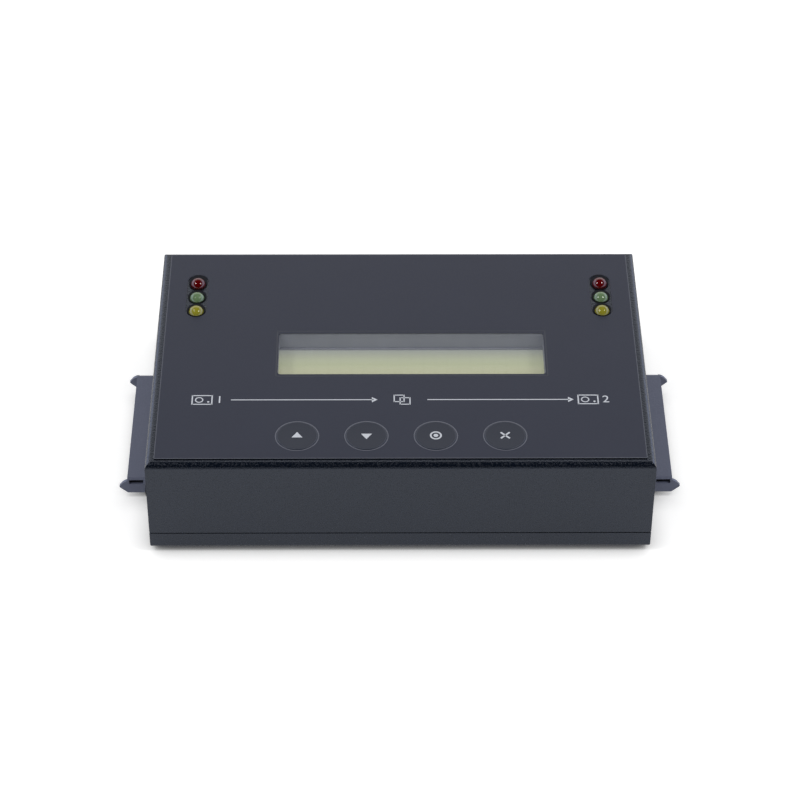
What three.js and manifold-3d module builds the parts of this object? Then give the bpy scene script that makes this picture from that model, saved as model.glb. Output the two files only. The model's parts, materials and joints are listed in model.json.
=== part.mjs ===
// Stand-alone hard drive docking station: a folded sheet-steel case with a drive dock on
// each side, a recessed character display, two rows of signal lamps and four keys.
// Millimetres, +Z up, the front faces -Y. Heights are measured from the desk.

import * as THREE from 'three';
import { mergeVertices } from 'three/addons/utils/BufferGeometryUtils.js';
import Module from 'manifold-3d';

const wasm = await Module();
wasm.setup();

// Case
const caseWidth = 152;
const caseDepth = 102.4;
const sheet = 1;
const footHeight = 1.5;
const lipHeight = 5.8;
const apronHeight = 27.6;
const bendRadius = 1.8;
const baseBendRadius = 1.2;
const rearLipHeight = 6;
const cornerNip = 0.5;
const tabWidth = 10;
const tabHeight = 11;
const fit = 0.3;

// Printed front film and the clear window under it
const filmThickness = 0.3;
const filmSideMargin = 2.6;
const filmFrontMargin = 2.7;
const filmRearMargin = 1.9;
const filmCornerRadius = 0.8;
const windowWidth = 82.5;
const windowDepth = 19.6;
const windowX = 3.65;
const windowY = -0.2;
const windowCornerRadius = 1;
const windowRim = 1.9;

// Keys and the small switches under them
const keyDiameter = 12.7;
const keyPitch = 20.8;
const keyRowX = 0.2;
const keyFrontMargin = 12.7;
const keyCrown = 0.2;
const keyCrownWidth = 0.9;
const keyFlange = 1;
const keyFlangeThickness = 0.8;
const keyStemDiameter = 4;
const switchSize = 6;
const switchHeight = 3.5;
const switchFloor = 1;
const plungerDiameter = 3.4;
const plungerRise = 1.5;
const plungerCollar = 0.5;
const plungerCollarThickness = 0.6;

// Signal lamps
const lampDiameter = 5;
const lampFlange = 0.4;
const lampFlangeThickness = 1;
const lampLength = 8.6;
const lampRise = 1.3;
const lampPitch = 6.7;
const lampSideMargin = 11.9;
const lampRearMargin = 23.8;
const lampHoleDiameter = 5.7;
const lampSlotWidth = 6.7;
const lampSlotLength = 21.2;
const lampSlotShift = 1;
const lampLeadThickness = 0.5;
const lampLeadPitch = 2.54;
const lampFacets = 16;
const domeSteps = 5;

// Boards
const boardThickness = 1.6;
const boardCornerRadius = 2;
const mainBoardHeight = 6;
const mainBoardMargin = 3.6;
const controlBoardDrop = 9.2;
const controlBoardMargin = 4.5;
const controlBoardRearMargin = 13.7;
const displayBoardDrop = 3.3;
const spacerDiameter = 4.4;
const spacerInset = 3.5;
const postDiameter = 5.5;
const postSideInset = 17;
const postEndInset = 9.5;
const panelPostY = -5;
const panelPostInset = 7.5;

// Character display
const displayViewMarginX = 0.55;
const displayViewMarginY = -0.3;
const displayFrameMarginX = 7.7;
const displayFrameMarginY = 8;
const displayBoardMarginX = 8.5;
const displayBoardMarginY = 1;
const displayFrameSheet = 0.6;
const displayTopDrop = 6.1;
const displayGlassThickness = 2.2;

// Drive docks, one on each side
const dockY = -2;
const dockWidth = 50.4;
const dockReach = 8.4;
const dockNoseReach = 2.5;
const dockNoseRound = 0.35;
const dockNoseTopDrop = 0.52;
const dockNoseUnder = 0.56;
const dockNoseOver = 0.49;
const dockBottom = 2;
const dockBendRadius = 1.3;
const dockSlotDrop = 1.8;
const dockSlotLength = 4.4;
const dockSlotWeb = 0.6;
const dockSlotStart = 0.1;
const dockRootDepth = 2;
const dockArmLength = 13.4;
const dockFootLength = 7;
const dockFootWidth = 8;
const receptacleWidth = 42;
const receptacleFaceInset = 3.2;
const receptacleLength = 15.2;
const receptacleChamfer = 0.4;
const contactPitch = 1.27;
const contactWidth = 0.6;
const contactRise = 0.25;
const contactRoot = 0.5;
const contactSetback = 0.8;
const contactSink = 0.1;
const signalContacts = 7;
const powerContacts = 15;
const slotEndMargin = 1.1;
const slotHeight = 1.5;
const slotRise = 0.9;
const slotDepth = 6;
const keyLegWidth = 1.2;
const keyLegDrop = 1.1;
const slotDividerWidth = 3.2;

// Rear connectors and the power switch
const serialSideMargin = 40;
const serialLift = 6.8;
const serialWidth = 16.9;
const serialHeight = 8.4;
const serialSlope = 1.4;
const serialCornerRadius = 2.2;
const serialLeastRadius = 0.4;
const serialSideLean = serialSlope / serialHeight;
const serialFlangeRadius = 1;
const serialShellSheet = 0.5;
const serialShellReach = 6;
const serialFlangeMargin = 2.9;
const serialFlangeHeight = 12.5;
const serialScrewPitch = 25;
const serialBodyWidth = 19;
const serialBodyDepth = 8.5;
const serialPinPitch = 2.77;
const serialRows = [[1, 5], [-1, 4]];
const serialRowPitch = 2.84;
const serialPinHole = 1.1;
const serialPinHoleDepth = 5;
const jackscrewWidth = 4.75;
const jackscrewLength = 5;
const jackscrewHoleDiameter = 2.4;
const jackscrewHoleDepth = 4;
const jackscrewShankLength = 3.5;
const hexSides = 6;
const pinHoleSides = 8;
const jackSideMargin = 26;
const jackWidth = 9;
const jackHeight = 11;
const jackLength = 14;
const jackCollarDiameter = 7.8;
const jackCollarReach = 0.4;
const jackBoreDiameter = 6.4;
const jackBoreDepth = 9;
const jackPinDiameter = 2;
const rockerX = 18;
const rockerHeight = 18.5;
const rockerLength = 10.6;
const rockerWidth = 6.2;
const rockerThickness = 3.6;
const rockerDish = 1;
const rockerTilt = 12;
const rockerAxleDiameter = 1.6;
const rockerAxleReach = 0.7;
const rockerWall = 1;
const rockerBezel = 1;
const rockerBezelThickness = 1.6;
const rockerHousingDepth = 11;
const rockerPocketExtra = 0.7;
const rockerChamfer = 0.5;
const rockerDishSteps = 8;
const bezelCornerRadius = 1;
const switchHoleRadius = 0.4;

// Fasteners
const screwDiameter = 3;
const screwHeadDiameter = 5.6;
const screwHeadHeight = 1.6;
const screwRecessWidth = 0.8;
const screwRecessDepth = 0.7;
const screwRimHeight = 0.65;
const screwCrownWidth = 3.9;
const screwRecessReach = 1.4;
const caseScrewLength = 5;
const caseScrewHeight = 13.5;
const caseScrewEndMargin = 13.2;
const boardScrewLength = 4.2;

// Parts on the boards
const controllerX = -4;
const controllerY = -4;
const chipSize = 20;
const chipHeight = 1.6;
const chipCornerRadius = 0.6;
const sinkOverhang = 1;
const sinkHeight = 7;
const sinkFins = 8;
const sinkFloor = 1.6;
const finThickness = 1.1;
const memoryX = 20;
const memoryWidth = 11;
const memoryLength = 18;
const memoryHeight = 1.2;
const capacitorRearGap = 2.2;
const capacitorDiameter = 8;
const capacitorHeight = 11.5;
const capacitorGroove = 0.4;
const buzzerSideMargin = 30;
const buzzerFrontMargin = 17.2;
const buzzerDiameter = 12;
const buzzerHeight = 8.5;
const buzzerEdge = 0.5;
const buzzerHoleDiameter = 2;
const buzzerHoleDepth = 2.5;
const linkX = -10;
const linkRearMargin = 21.2;
const linkWidth = 26;
const linkPlugDepth = 5;
const linkSocketDepth = 4.4;
const linkWaistInset = 0.9;
const linkWaistHeight = 2.4;
const linkPlugHeight = 8.5;

// Rubber feet
const footDiameter = 10;
const footEdge = 0.5;
const footBevelHeight = 0.3;
const footFacets = 20;

// Sides of a full circle, and steps of one rounded corner
const fine = 40;
const medium = 24;
const coarse = 12;
const cornerSteps = 4;
const bendSteps = 6;

// Levels and planes worked out from the sizes above
const halfWidth = caseWidth / 2;
const halfDepth = caseDepth / 2;
const floorUnder = footHeight;
const floorTop = floorUnder + sheet;
const lipTop = floorUnder + lipHeight;
const apronBottom = lipTop + fit;
const coverTop = apronBottom + apronHeight;
const coverUnder = coverTop - sheet;
const filmTop = coverTop + filmThickness;
const rearPanelTop = coverTop - rearLipHeight - fit;
const mainBoardTop = mainBoardHeight + boardThickness;
const controlBoardTop = coverUnder - controlBoardDrop;
const controlBoardUnder = controlBoardTop - boardThickness;
const displayBoardTop = controlBoardUnder - displayBoardDrop;
const displayViewWidth = windowWidth + 2 * displayViewMarginX;
const displayViewDepth = windowDepth + 2 * displayViewMarginY;
const displayFrameWidth = displayViewWidth + 2 * displayFrameMarginX;
const displayFrameDepth = displayViewDepth + 2 * displayFrameMarginY;
const displayBoardWidth = displayFrameWidth + 2 * displayBoardMarginX;
const displayBoardDepth = displayFrameDepth + 2 * displayBoardMarginY;
const displayTop = filmTop - displayTopDrop;
const displayGlassTop = displayTop - displayFrameSheet;
const dockTop = lipTop;
const dockInner = halfWidth - sheet - dockRootDepth;
const mainBoardHalfWidth = halfWidth - mainBoardMargin;
const insideRear = halfDepth - sheet;
const keyRowY = -halfDepth + keyFrontMargin;
const lampX = halfWidth - lampSideMargin;
const lampRowY = halfDepth - lampRearMargin;
const postX = halfWidth - postSideInset;
const postY = halfDepth - postEndInset;
const serialX = -halfWidth + serialSideMargin;
const serialFlangeWidth = serialScrewPitch + 2 * serialFlangeMargin;
const jackX = halfWidth - jackSideMargin;
const caseScrewY = halfDepth - caseScrewEndMargin;
const serialZ = mainBoardTop + serialLift;
const jackZ = mainBoardTop + jackHeight / 2;
const rearReach = Math.max(serialShellReach - sheet, jackscrewLength, rockerBezelThickness);
const screwRadius = screwDiameter / 2;
const screwHole = screwDiameter + 2 * fit;

// Surface finishes
function finish(colour, roughness, metalness = 0) {
  return new THREE.MeshStandardMaterial({ color: colour, roughness, metalness, flatShading: true });
}
const paintedSteel = finish('#3d404a', 0.55, 0.1);
const dockPaint = finish('#5a5c67', 0.5, 0.1);
const printedFilm = finish('#42444f', 0.45);
const keyFilm = finish('#42454e', 0.45);
const clearPlastic = finish('#c8ccd0', 0.1);
clearPlastic.transparent = true;
clearPlastic.opacity = 0.25;
const blackPlastic = finish('#17181c', 0.5);
const greyPlastic = finish('#c9cbd0', 0.5);
const bareSteel = finish('#b9bcc2', 0.3, 0.9);
const blackSteel = finish('#1b1c20', 0.45, 0.6);
const brass = finish('#c7a55a', 0.3, 0.9);
const aluminium = finish('#a9adb3', 0.4, 0.9);
const boardGreen = finish('#1f5a35', 0.55);
const chipBlack = finish('#222326', 0.6);
const rubber = finish('#1d1d1f', 0.9);
const displayGlass = finish('#a9ae8c', 0.15);
const displayLight = finish('#d3d6c4', 0.5);
const displaySteel = finish('#6f7178', 0.45, 0.4);
const lampColours = {
  red: finish('#5e0a0c', 0.15),
  green: finish('#4f8a55', 0.2),
  yellow: finish('#8c8a2c', 0.2),
};

// Turns a closed geometry into a solid with its faces pointing out.
function solid(geometry) {
  const bare = geometry.clone();
  bare.deleteAttribute('normal');
  bare.deleteAttribute('uv');
  const merged = mergeVertices(bare, 1e-4);
  const points = merged.attributes.position;
  const corner = (vertex) => new THREE.Vector3().fromBufferAttribute(points, vertex);
  const faces = [];
  let volume = 0;
  for (let start = 0; start < merged.index.count; start += 3) {
    const [a, b, c] = [0, 1, 2].map((step) => merged.index.getX(start + step));
    if (a === b || b === c || c === a) continue;
    faces.push([a, b, c]);
    volume += corner(a).dot(corner(b).cross(corner(c)));
  }
  const outward = volume > 0 ? faces : faces.map(([a, b, c]) => [a, c, b]);
  return new wasm.Manifold(new wasm.Mesh({
    numProp: 3,
    vertProperties: Float32Array.from(points.array),
    triVerts: Uint32Array.from(outward.flat()),
  }));
}

function join(first, ...others) {
  return others.reduce((body, other) => body.add(other), first);
}

function cut(body, ...tools) {
  return tools.reduce((rest, tool) => rest.subtract(tool), body);
}

function piece(name, material, body) {
  const { vertProperties, triVerts } = body.getMesh();
  const geometry = new THREE.BufferGeometry();
  geometry.setAttribute('position', new THREE.BufferAttribute(vertProperties, 3));
  geometry.setIndex(new THREE.BufferAttribute(triVerts, 1));
  const mesh = new THREE.Mesh(geometry, material);
  mesh.name = name;
  return mesh;
}

function placed(object, x, y, z) {
  object.position.set(x, y, z);
  return object;
}

function block(x0, x1, y0, y1, z0, z1) {
  const geometry = new THREE.BoxGeometry(x1 - x0, y1 - y0, z1 - z0);
  geometry.translate((x0 + x1) / 2, (y0 + y1) / 2, (z0 + z1) / 2);
  return solid(geometry);
}

// Every arc of the shape becomes the given number of straight steps.
function extrusion(shape, length, arcSteps) {
  const settings = { depth: length, bevelEnabled: false, curveSegments: arcSteps / 2 };
  return new THREE.ExtrudeGeometry(shape, settings);
}

// A shape drawn in X and Y, standing from z0 to z1.
function upright(shape, z0, z1, arcSteps = cornerSteps) {
  const geometry = extrusion(shape, z1 - z0, arcSteps);
  geometry.translate(0, 0, z0);
  return solid(geometry);
}

// A shape drawn in Y and Z, running from x0 to x1.
function acrossCase(shape, x0, x1, arcSteps = cornerSteps) {
  const geometry = extrusion(shape, x1 - x0, arcSteps);
  const toX = new THREE.Matrix4().makeBasis(
    new THREE.Vector3(0, 1, 0), new THREE.Vector3(0, 0, 1), new THREE.Vector3(1, 0, 0));
  geometry.applyMatrix4(toX);
  geometry.translate(x0, 0, 0);
  return solid(geometry);
}

// A shape drawn in X and Z, running from y0 to y1.
function frontToRear(shape, y0, y1, arcSteps = cornerSteps) {
  const geometry = extrusion(shape, y1 - y0, arcSteps);
  const toY = new THREE.Matrix4().makeBasis(
    new THREE.Vector3(1, 0, 0), new THREE.Vector3(0, 0, 1), new THREE.Vector3(0, -1, 0));
  geometry.applyMatrix4(toY);
  geometry.translate(0, y1, 0);
  return solid(geometry);
}

function disc(radius, x, y, z0, z1, sides = medium) {
  const geometry = new THREE.CylinderGeometry(radius, radius, z1 - z0, sides);
  geometry.rotateX(Math.PI / 2);
  geometry.translate(x, y, (z0 + z1) / 2);
  return solid(geometry);
}

// A round bar along Y, such as a screw hole in the rear panel.
function barAlongY(radius, x, z, y0, y1, sides = medium) {
  const geometry = new THREE.CylinderGeometry(radius, radius, y1 - y0, sides);
  geometry.translate(x, (y0 + y1) / 2, z);
  return solid(geometry);
}

function barAlongX(radius, y, z, x0, x1, sides = medium) {
  const geometry = new THREE.CylinderGeometry(radius, radius, x1 - x0, sides);
  geometry.rotateZ(Math.PI / 2);
  geometry.translate((x0 + x1) / 2, y, z);
  return solid(geometry);
}

// A profile of [radius, height] pairs turned about the Z axis.
function turned(profile, sides = medium) {
  const points = profile.map(([radius, height]) => new THREE.Vector2(radius, height));
  const geometry = new THREE.LatheGeometry(points, sides);
  geometry.rotateX(Math.PI / 2);
  return solid(geometry);
}

function outline(points) {
  return new THREE.Shape(points.map(([x, y]) => new THREE.Vector2(x, y)));
}

function roundedRectangle(x0, x1, y0, y1, radius, Kind = THREE.Shape) {
  const path = new Kind();
  path.moveTo(x0 + radius, y0);
  path.lineTo(x1 - radius, y0);
  path.absarc(x1 - radius, y0 + radius, radius, -Math.PI / 2, 0, false);
  path.lineTo(x1, y1 - radius);
  path.absarc(x1 - radius, y1 - radius, radius, 0, Math.PI / 2, false);
  path.lineTo(x0 + radius, y1);
  path.absarc(x0 + radius, y1 - radius, radius, Math.PI / 2, Math.PI, false);
  path.lineTo(x0, y0 + radius);
  path.absarc(x0 + radius, y0 + radius, radius, Math.PI, 1.5 * Math.PI, false);
  return path;
}

// A section with bends at its upper corners and nipped lower corners.
function lidSection(half, bottom, top, radius, nip) {
  const section = new THREE.Shape();
  section.moveTo(-half + nip, bottom);
  section.lineTo(half - nip, bottom);
  section.lineTo(half, bottom + nip);
  section.lineTo(half, top - radius);
  section.absarc(half - radius, top - radius, radius, 0, Math.PI / 2, false);
  section.lineTo(-half + radius, top);
  section.absarc(-half + radius, top - radius, radius, Math.PI / 2, Math.PI, false);
  section.lineTo(-half, bottom + nip);
  return section;
}

// A section with bends at its lower corners.
function panSection(half, bottom, top, radius) {
  const section = new THREE.Shape();
  section.moveTo(-half + radius, bottom);
  section.lineTo(half - radius, bottom);
  section.absarc(half - radius, bottom + radius, radius, -Math.PI / 2, 0, false);
  section.lineTo(half, top);
  section.lineTo(-half, top);
  section.lineTo(-half, bottom + radius);
  section.absarc(-half + radius, bottom + radius, radius, Math.PI, 1.5 * Math.PI, false);
  return section;
}

// Folded sheet keeps only what its front and side sections share, so its bends meet in a mitre.
function folded(frontSection, sideSection) {
  const alongDepth = frontToRear(frontSection, -caseDepth, caseDepth, bendSteps);
  const alongWidth = acrossCase(sideSection, -caseWidth, caseWidth, bendSteps);
  return alongDepth.intersect(alongWidth);
}

const keyNames = ['up', 'down', 'ok', 'escape'];
const keyX = (index) => keyRowX + (index - (keyNames.length - 1) / 2) * keyPitch;
const keyHoleRadius = keyDiameter / 2 + fit;
const lampNames = ['red', 'green', 'yellow'];
const lampY = (index) => lampRowY + (1 - index) * lampPitch;
const sides = { left: -1, right: 1 };
const sideSigns = Object.values(sides);
const corners = [['front_left', -1, -1], ['front_right', 1, -1], ['rear_left', -1, 1], ['rear_right', 1, 1]];
const panelPostX = halfWidth - panelPostInset;

// The lid: top, front and side aprons, a short rear lip and two threaded studs.
function topCover() {
  const outer = folded(
    lidSection(halfWidth, apronBottom, coverTop, bendRadius, cornerNip),
    lidSection(halfDepth, apronBottom, coverTop, bendRadius, 0));
  const innerRadius = bendRadius - sheet;
  const inner = folded(
    lidSection(halfWidth - sheet, apronBottom - sheet, coverUnder, innerRadius, 0),
    lidSection(halfDepth - sheet, apronBottom - sheet, coverUnder, innerRadius, 0));
  let shell = outer.subtract(inner);
  const lipBottom = coverTop - rearLipHeight;
  shell = cut(shell, block(-caseWidth, caseWidth, insideRear - fit, caseDepth, 0, lipBottom));
  for (const side of sideSigns) {
    const inside = side * (halfWidth - sheet);
    const outside = side * (halfWidth + sheet);
    const [x0, x1] = [Math.min(inside, outside), Math.max(inside, outside)];
    const seamTop = coverTop - bendRadius;
    shell = cut(shell,
      block(x0, x1, -halfDepth + sheet, -halfDepth + sheet + fit, 0, seamTop),
      block(x0, x1, insideRear - fit, insideRear, 0, seamTop));
    for (const y of [-caseScrewY, caseScrewY]) {
      shell = shell.subtract(barAlongX(screwHole / 2, y, caseScrewHeight, x0, x1, coarse));
    }
    const stud = disc(postDiameter / 2, side * panelPostX, panelPostY,
      controlBoardTop, coverUnder + sheet / 2, coarse);
    const bore = disc(screwHole / 2, side * panelPostX, panelPostY,
      controlBoardTop - sheet, controlBoardTop + boardScrewLength, coarse);
    shell = shell.add(stud).subtract(bore);
  }
  const above = coverTop + sheet;
  const below = coverUnder - sheet / 2;
  for (const index of keyNames.keys()) {
    shell = shell.subtract(disc(keyHoleRadius, keyX(index), keyRowY, below, above));
  }
  for (const side of sideSigns) {
    for (const index of lampNames.keys()) {
      const hole = disc(lampHoleDiameter / 2, side * lampX, lampY(index), below, above);
      shell = shell.subtract(hole);
    }
  }
  const paneHole = roundedRectangle(
    windowX - windowWidth / 2 - windowRim, windowX + windowWidth / 2 + windowRim,
    windowY - windowDepth / 2 - windowRim, windowY + windowDepth / 2 + windowRim,
    windowCornerRadius);
  shell = shell.subtract(upright(paneHole, below, above));
  return piece('top_cover', paintedSteel, shell);
}

// One outline of the rear serial socket, grown or shrunk by an offset.
function serialOutline(offset) {
  const top = serialWidth / 2 + offset;
  const bottom = top - serialSlope;
  const half = serialHeight / 2 + offset;
  const radius = Math.max(serialCornerRadius + offset, serialLeastRadius);
  const lean = radius * serialSideLean;
  const path = new THREE.Shape();
  path.moveTo(serialX - bottom + radius, serialZ - half);
  path.lineTo(serialX + bottom - radius, serialZ - half);
  path.quadraticCurveTo(serialX + bottom, serialZ - half, serialX + bottom + lean, serialZ - half + radius);
  path.lineTo(serialX + top - lean, serialZ + half - radius);
  path.quadraticCurveTo(serialX + top, serialZ + half, serialX + top - radius, serialZ + half);
  path.lineTo(serialX - top + radius, serialZ + half);
  path.quadraticCurveTo(serialX - top, serialZ + half, serialX - top + lean, serialZ + half - radius);
  path.lineTo(serialX - bottom - lean, serialZ - half + radius);
  path.quadraticCurveTo(serialX - bottom, serialZ - half, serialX - bottom + radius, serialZ - half);
  return path;
}

const pocketHalfLength = rockerLength / 2 + THREE.MathUtils.degToRad(rockerTilt) * rockerThickness + fit;
const pocketHalfWidth = rockerWidth / 2 + fit;
const housingHalfLength = pocketHalfLength + rockerWall;
const housingHalfWidth = pocketHalfWidth + rockerWall;

// The base: a floor with low front and side lips, a full rear panel, screw tabs and board posts.
function baseChassis() {
  const outer = folded(
    panSection(halfWidth, floorUnder, rearPanelTop, baseBendRadius),
    panSection(halfDepth, floorUnder, rearPanelTop, baseBendRadius));
  const innerRadius = baseBendRadius - sheet;
  const inner = folded(
    panSection(halfWidth - sheet, floorTop, rearPanelTop + sheet, innerRadius),
    panSection(halfDepth - sheet, floorTop, rearPanelTop + sheet, innerRadius));
  let pan = outer.subtract(inner);
  pan = pan.subtract(block(-caseWidth, caseWidth, -caseDepth, insideRear, lipTop, coverTop));
  for (const side of sideSigns) {
    const tab = outline([
      [side * (halfWidth - sheet), floorTop],
      [side * (halfWidth - sheet), lipTop - 2 * fit],
      [side * (halfWidth - sheet - fit), lipTop],
      [side * (halfWidth - sheet - fit), lipTop + tabHeight],
      [side * (halfWidth - 2 * sheet - fit), lipTop + tabHeight],
      [side * (halfWidth - 2 * sheet - fit), lipTop],
      [side * (halfWidth - 2 * sheet), lipTop - 2 * fit],
      [side * (halfWidth - 2 * sheet), floorTop],
    ]);
    for (const y of [-caseScrewY, caseScrewY]) {
      pan = pan.add(frontToRear(tab, y - tabWidth / 2, y + tabWidth / 2));
      pan = pan.subtract(barAlongX(screwHole / 2, y, caseScrewHeight,
        Math.min(side * (halfWidth - 3 * sheet), side * halfWidth),
        Math.max(side * (halfWidth - 3 * sheet), side * halfWidth), coarse));
    }
    const notchOuter = side * (halfWidth + sheet);
    const notchInner = side * (halfWidth - dockArmLength + dockFootLength);
    const [x0, x1] = [Math.min(notchInner, notchOuter), Math.max(notchInner, notchOuter)];
    const notchHalf = dockWidth / 2 + fit;
    pan = pan.subtract(block(x0, x1, dockY - notchHalf, dockY + notchHalf, 0, coverTop));
  }
  for (const [, sideX, sideY] of corners) {
    const [x, y] = [sideX * postX, sideY * postY];
    pan = pan.add(disc(postDiameter / 2, x, y, floorTop - sheet / 2, mainBoardHeight, coarse));
    pan = pan.subtract(disc(screwHole / 2, x, y, floorTop + fit, mainBoardHeight + sheet, coarse));
  }
  const [y0, y1] = [insideRear - sheet, halfDepth + sheet];
  const switchHole = roundedRectangle(
    rockerX - housingHalfLength - fit, rockerX + housingHalfLength + fit,
    rockerHeight - housingHalfWidth - fit, rockerHeight + housingHalfWidth + fit, switchHoleRadius);
  pan = cut(pan,
    frontToRear(serialOutline(fit), y0, y1),
    barAlongY(jackCollarDiameter / 2 + fit, jackX, jackZ, y0, y1),
    frontToRear(switchHole, y0, y1));
  for (const side of sideSigns) {
    const x = serialX + side * serialScrewPitch / 2;
    pan = pan.subtract(barAlongY(screwHole / 2, x, serialZ, y0, y1, coarse));
  }
  return piece('base_chassis', paintedSteel, pan);
}

// The printed film on the lid, with its cut-outs.
function panelOverlay() {
  const film = roundedRectangle(-halfWidth + filmSideMargin, halfWidth - filmSideMargin,
    -halfDepth + filmFrontMargin, halfDepth - filmRearMargin, filmCornerRadius);
  film.holes.push(roundedRectangle(
    windowX - windowWidth / 2, windowX + windowWidth / 2,
    windowY - windowDepth / 2, windowY + windowDepth / 2, windowCornerRadius, THREE.Path));
  for (const side of sideSigns) {
    const slotY = lampRowY + lampSlotShift;
    film.holes.push(roundedRectangle(
      side * lampX - lampSlotWidth / 2, side * lampX + lampSlotWidth / 2,
      slotY - lampSlotLength / 2, slotY + lampSlotLength / 2, lampSlotWidth / 2, THREE.Path));
  }
  let body = upright(film, coverTop, filmTop, bendSteps);
  for (const index of keyNames.keys()) {
    const hole = disc(keyHoleRadius, keyX(index), keyRowY, coverTop - sheet, filmTop + sheet, fine);
    body = body.subtract(hole);
  }
  return piece('panel_overlay', printedFilm, body);
}

function displayWindow() {
  const reach = windowRim - fit;
  const pane = roundedRectangle(
    windowX - windowWidth / 2 - reach, windowX + windowWidth / 2 + reach,
    windowY - windowDepth / 2 - reach, windowY + windowDepth / 2 + reach, windowCornerRadius);
  return piece('display_window', clearPlastic, upright(pane, coverUnder, coverTop));
}

// A key: crowned cap level with the film, a flange that holds it under the lid, and its stem.
function key(name, x) {
  const capRadius = keyDiameter / 2;
  const top = filmTop + keyCrown;
  const flangeTop = coverUnder - fit;
  const flangeBottom = flangeTop - keyFlangeThickness;
  const stemBottom = controlBoardTop + switchHeight + plungerRise;
  const cap = turned([
    [0, flangeBottom],
    [capRadius + keyFlange, flangeBottom],
    [capRadius + keyFlange, flangeTop],
    [capRadius, flangeTop],
    [capRadius, filmTop],
    [capRadius - keyCrownWidth, top],
    [0, top],
  ], fine);
  const body = cap.add(disc(keyStemDiameter / 2, 0, 0, stemBottom, flangeTop, coarse));
  return placed(piece(`key_${name}`, keyFilm, body), x, keyRowY, 0);
}

// The small push switch under a key, with the bore that its plunger slides in.
function keySwitch(name, x) {
  const half = switchSize / 2;
  const boreRadius = plungerDiameter / 2 + fit;
  const collarRadius = plungerDiameter / 2 + plungerCollar + fit;
  const body = cut(
    block(-half, half, -half, half, 0, switchHeight),
    disc(collarRadius, 0, 0, switchFloor, switchHeight - plungerCollarThickness, coarse),
    disc(boreRadius, 0, 0, switchFloor, switchHeight + sheet, coarse));
  return placed(piece(`key_switch_${name}`, blackPlastic, body), x, keyRowY, controlBoardTop);
}

function keyPlunger(name, x) {
  const collarTop = switchHeight - plungerCollarThickness - fit;
  const top = switchHeight + plungerRise;
  const radius = plungerDiameter / 2;
  const body = turned([
    [0, collarTop - plungerCollarThickness],
    [radius + plungerCollar, collarTop - plungerCollarThickness],
    [radius + plungerCollar, collarTop],
    [radius, collarTop],
    [radius, top],
    [0, top],
  ], coarse);
  return placed(piece(`plunger_${name}`, greyPlastic, body), x, keyRowY, controlBoardTop);
}

// A round signal lamp: domed lens with its flange, on two leads that stand on the board.
function lamp(sideName, colour, index) {
  const radius = lampDiameter / 2;
  const top = filmTop + lampRise;
  const bottom = top - lampLength;
  const profile = [
    [0, bottom],
    [radius + lampFlange, bottom],
    [radius + lampFlange, bottom + lampFlangeThickness],
    [radius, bottom + lampFlangeThickness],
  ];
  for (let step = 0; step <= domeSteps; step += 1) {
    const angle = step / domeSteps * Math.PI / 2;
    const across = step === domeSteps ? 0 : radius * Math.cos(angle);
    profile.push([across, top - radius + radius * Math.sin(angle)]);
  }
  const half = lampLeadThickness / 2;
  const leads = [-1, 1].map((side) => {
    const x = side * lampLeadPitch / 2;
    return block(x - half, x + half, -half, half, controlBoardTop, bottom + lampFlangeThickness / 2);
  });
  const body = join(turned(profile, lampFacets), ...leads);
  const mesh = piece(`${sideName}_lamp_${colour}`, lampColours[colour], body);
  return placed(mesh, sides[sideName] * lampX, lampY(index), 0);
}

// Boards
function controlBoard() {
  const board = roundedRectangle(-halfWidth + controlBoardMargin, halfWidth - controlBoardMargin,
    -halfDepth + controlBoardMargin, halfDepth - controlBoardRearMargin, boardCornerRadius);
  const reachX = displayFrameWidth / 2 + 2 * fit;
  const reachY = displayFrameDepth / 2 + 2 * fit;
  const [below, above] = [controlBoardUnder - sheet, controlBoardTop + sheet];
  let body = upright(board, controlBoardUnder, controlBoardTop);
  body = body.subtract(
    block(windowX - reachX, windowX + reachX, windowY - reachY, windowY + reachY, below, above));
  for (const side of sideSigns) {
    const hole = disc(screwHole / 2, side * panelPostX, panelPostY, below, above, coarse);
    body = body.subtract(hole);
  }
  return piece('control_board', boardGreen, body);
}

function mainBoard() {
  const board = roundedRectangle(-mainBoardHalfWidth, mainBoardHalfWidth,
    -halfDepth + mainBoardMargin, insideRear - sheet, boardCornerRadius);
  let body = upright(board, mainBoardHeight, mainBoardTop);
  for (const [, sideX, sideY] of corners) {
    const [x, y] = [sideX * postX, sideY * postY];
    const hole = disc(screwHole / 2, x, y, mainBoardHeight - sheet, mainBoardTop + sheet, coarse);
    body = body.subtract(hole);
  }
  return piece('main_board', boardGreen, body);
}

// The display board hangs under the control board on four spacers.
function displayBoard() {
  const halfX = displayBoardWidth / 2;
  const halfY = displayBoardDepth / 2;
  let body = block(windowX - halfX, windowX + halfX, windowY - halfY, windowY + halfY,
    displayBoardTop - boardThickness, displayBoardTop);
  for (const side of sideSigns) {
    for (const end of sideSigns) {
      const x = windowX + side * (halfX - spacerInset);
      const y = windowY + end * (halfY - spacerInset);
      const bottom = displayBoardTop - boardThickness / 2;
      body = body.add(disc(spacerDiameter / 2, x, y, bottom, controlBoardUnder, coarse));
    }
  }
  return piece('display_board', boardGreen, body);
}

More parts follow.
